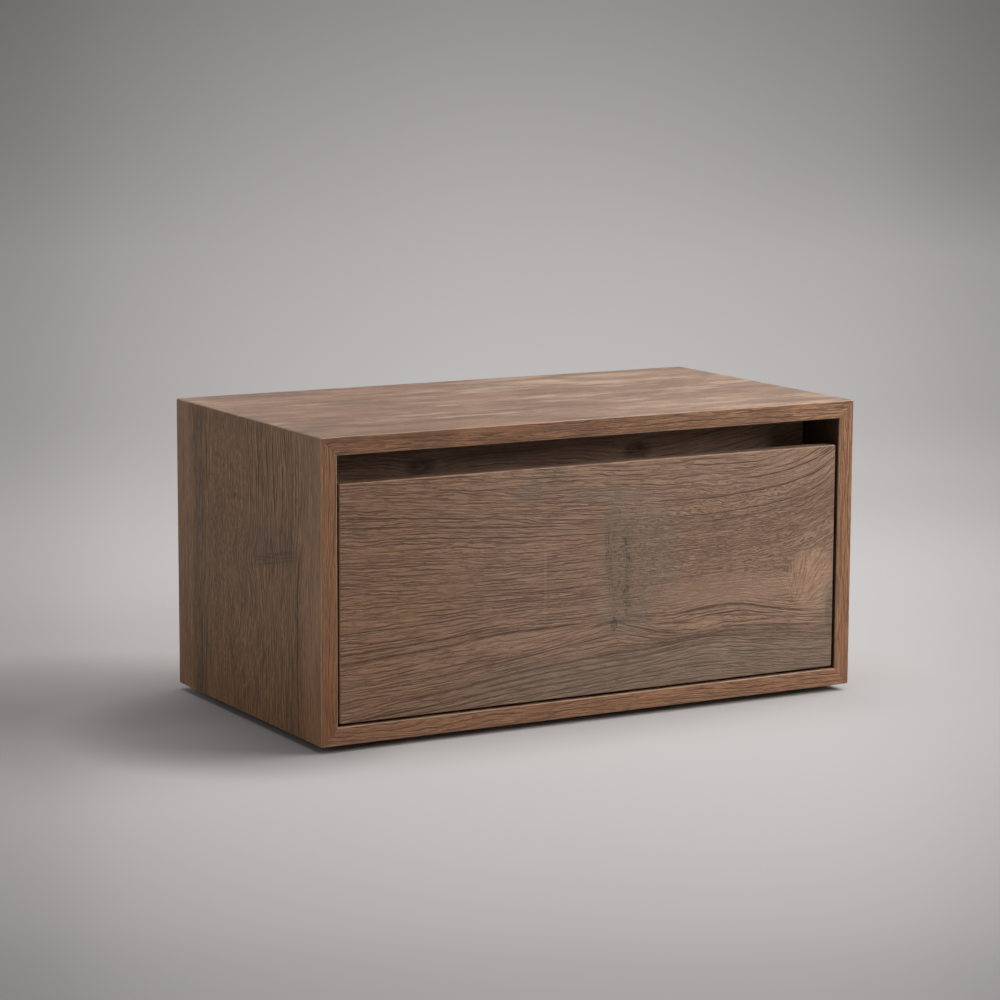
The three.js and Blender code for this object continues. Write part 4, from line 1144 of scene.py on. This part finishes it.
def stage_material():
    """A sweep that the lamps light near the part, and that further out glows with its grey,
    painted light and shade included, for camera, glossy and transmission rays.
    """
    graph = Graph("studio_sweep")
    grey = painted_sweep_light(graph)
    x, y, _ = graph.coordinates("Object")
    paths = graph.node("ShaderNodeLightPath").outputs
    seen = graph.math("MAXIMUM", paths["Is Camera Ray"], paths["Is Glossy Ray"])
    seen = seen.over(paths["Is Transmission Ray"])
    far = ((x ** 2 + y ** 2) ** 0.5).ramp(*LIT_RADII) * seen
    # The floor's colour is its grey divided by the lamps' light on the empty floor, so the painted
    # light and shade replace the lamps' falloff; the lamps' shadows still fall on it.
    spread = ((x - FLOOR_SPOT[0]) ** 2 + (y - FLOOR_SPOT[1]) ** 2) / FLOOR_REACH ** 2
    light = graph.math("DIVIDE", FLOOR_LIGHT, spread + 1) + FLOOR_LEAST
    lit = (grey / light).capped(FLOOR_PALEST)
    graph.finish(tinted(graph, lit), 0.85, Specular_IOR_Level=0.1)
    glow = graph.node("ShaderNodeEmission", tinted(graph, grey))
    blend = graph.node("ShaderNodeMixShader", far, graph.shader.outputs[0], glow.outputs[0])
    output = graph.tree.nodes["Material Output"]
    graph.tree.links.new(blend.outputs[0], output.inputs["Surface"])
    return graph.material


def turned_stage(name, profile, material):
    """A surface turned about the z axis from (radius, height) points."""
    bm = bmesh.new()
    rings = [ring(bm, radius, height, STAGE_SIDES) for radius, height in profile]
    for inner, outer in zip(rings, rings[1:]):
        skin(bm, inner, outer)
    bmesh.ops.recalc_face_normals(bm, faces=bm.faces)
    mesh = finished_mesh(bm, name, smooth=True)
    mesh.materials.append(material)
    made = add_object(name, mesh)
    return made


def build_stage():
    material = stage_material()
    turned_stage("floor", [(radius, 0) for radius in FLOOR_RADII], material)
    start = WALL_RADIUS - SWEEP_RADIUS
    profile = [(FLOOR_RADII[-1], 0)]
    for i in range(SWEEP_STEPS + 1):
        angle = math.pi / 2 * i / SWEEP_STEPS
        radius = start + SWEEP_RADIUS * math.sin(angle)
        profile.append((radius, SWEEP_RADIUS * (1 - math.cos(angle))))
    profile.append((WALL_RADIUS, WALL_HEIGHT))
    wall = turned_stage("backdrop", profile, material)
    wall.visible_diffuse = False
    wall.visible_shadow = False


def lamp(name, place, side, power):
    light = bpy.data.lights.new(name, "AREA")
    light.shape = "SQUARE"
    light.size = side
    light.energy = power
    made = add_object(name, light)
    made.location = place
    made.rotation_mode = "QUATERNION"
    made.rotation_quaternion = (LAMP_TARGET - Vector(place)).to_track_quat("-Z", "Y")


def build_light():
    for name, (place, side, power) in LAMPS.items():
        lamp(name, place, side, power)
    world = bpy.data.worlds.new("studio")
    world.use_nodes = True
    background = world.node_tree.nodes["Background"]
    background.inputs["Color"].default_value = (1, 1, 1, 1)
    background.inputs["Strength"].default_value = AMBIENT
    bpy.context.scene.world = world
    bpy.context.scene.view_settings.view_transform = "Standard"


def build_camera():
    flat = Vector((math.sin(AZIMUTH), math.cos(AZIMUTH), 0))
    forward = flat * math.cos(TILT) - Vector((0, 0, math.sin(TILT)))
    level = Vector((math.cos(AZIMUTH), -math.sin(AZIMUTH), 0))
    right = level * math.cos(ROLL) + level.cross(forward) * math.sin(ROLL)
    up = right.cross(forward)
    data = bpy.data.cameras.new("photo_camera")
    data.lens = LENS
    data.sensor_width = SENSOR
    data.clip_start, data.clip_end = CLIP
    camera = add_object("photo_camera", data)
    turn = Matrix((right, up, -forward)).transposed()
    camera.matrix_world = Matrix.Translation(EYE) @ turn.to_4x4()
    bpy.context.scene.camera = camera


build_camera()
build_light()
build_stage()
dress_cabinet()
dress_drawer()
dress_slides()
dress_screws()

bpy.context.view_layer.update()
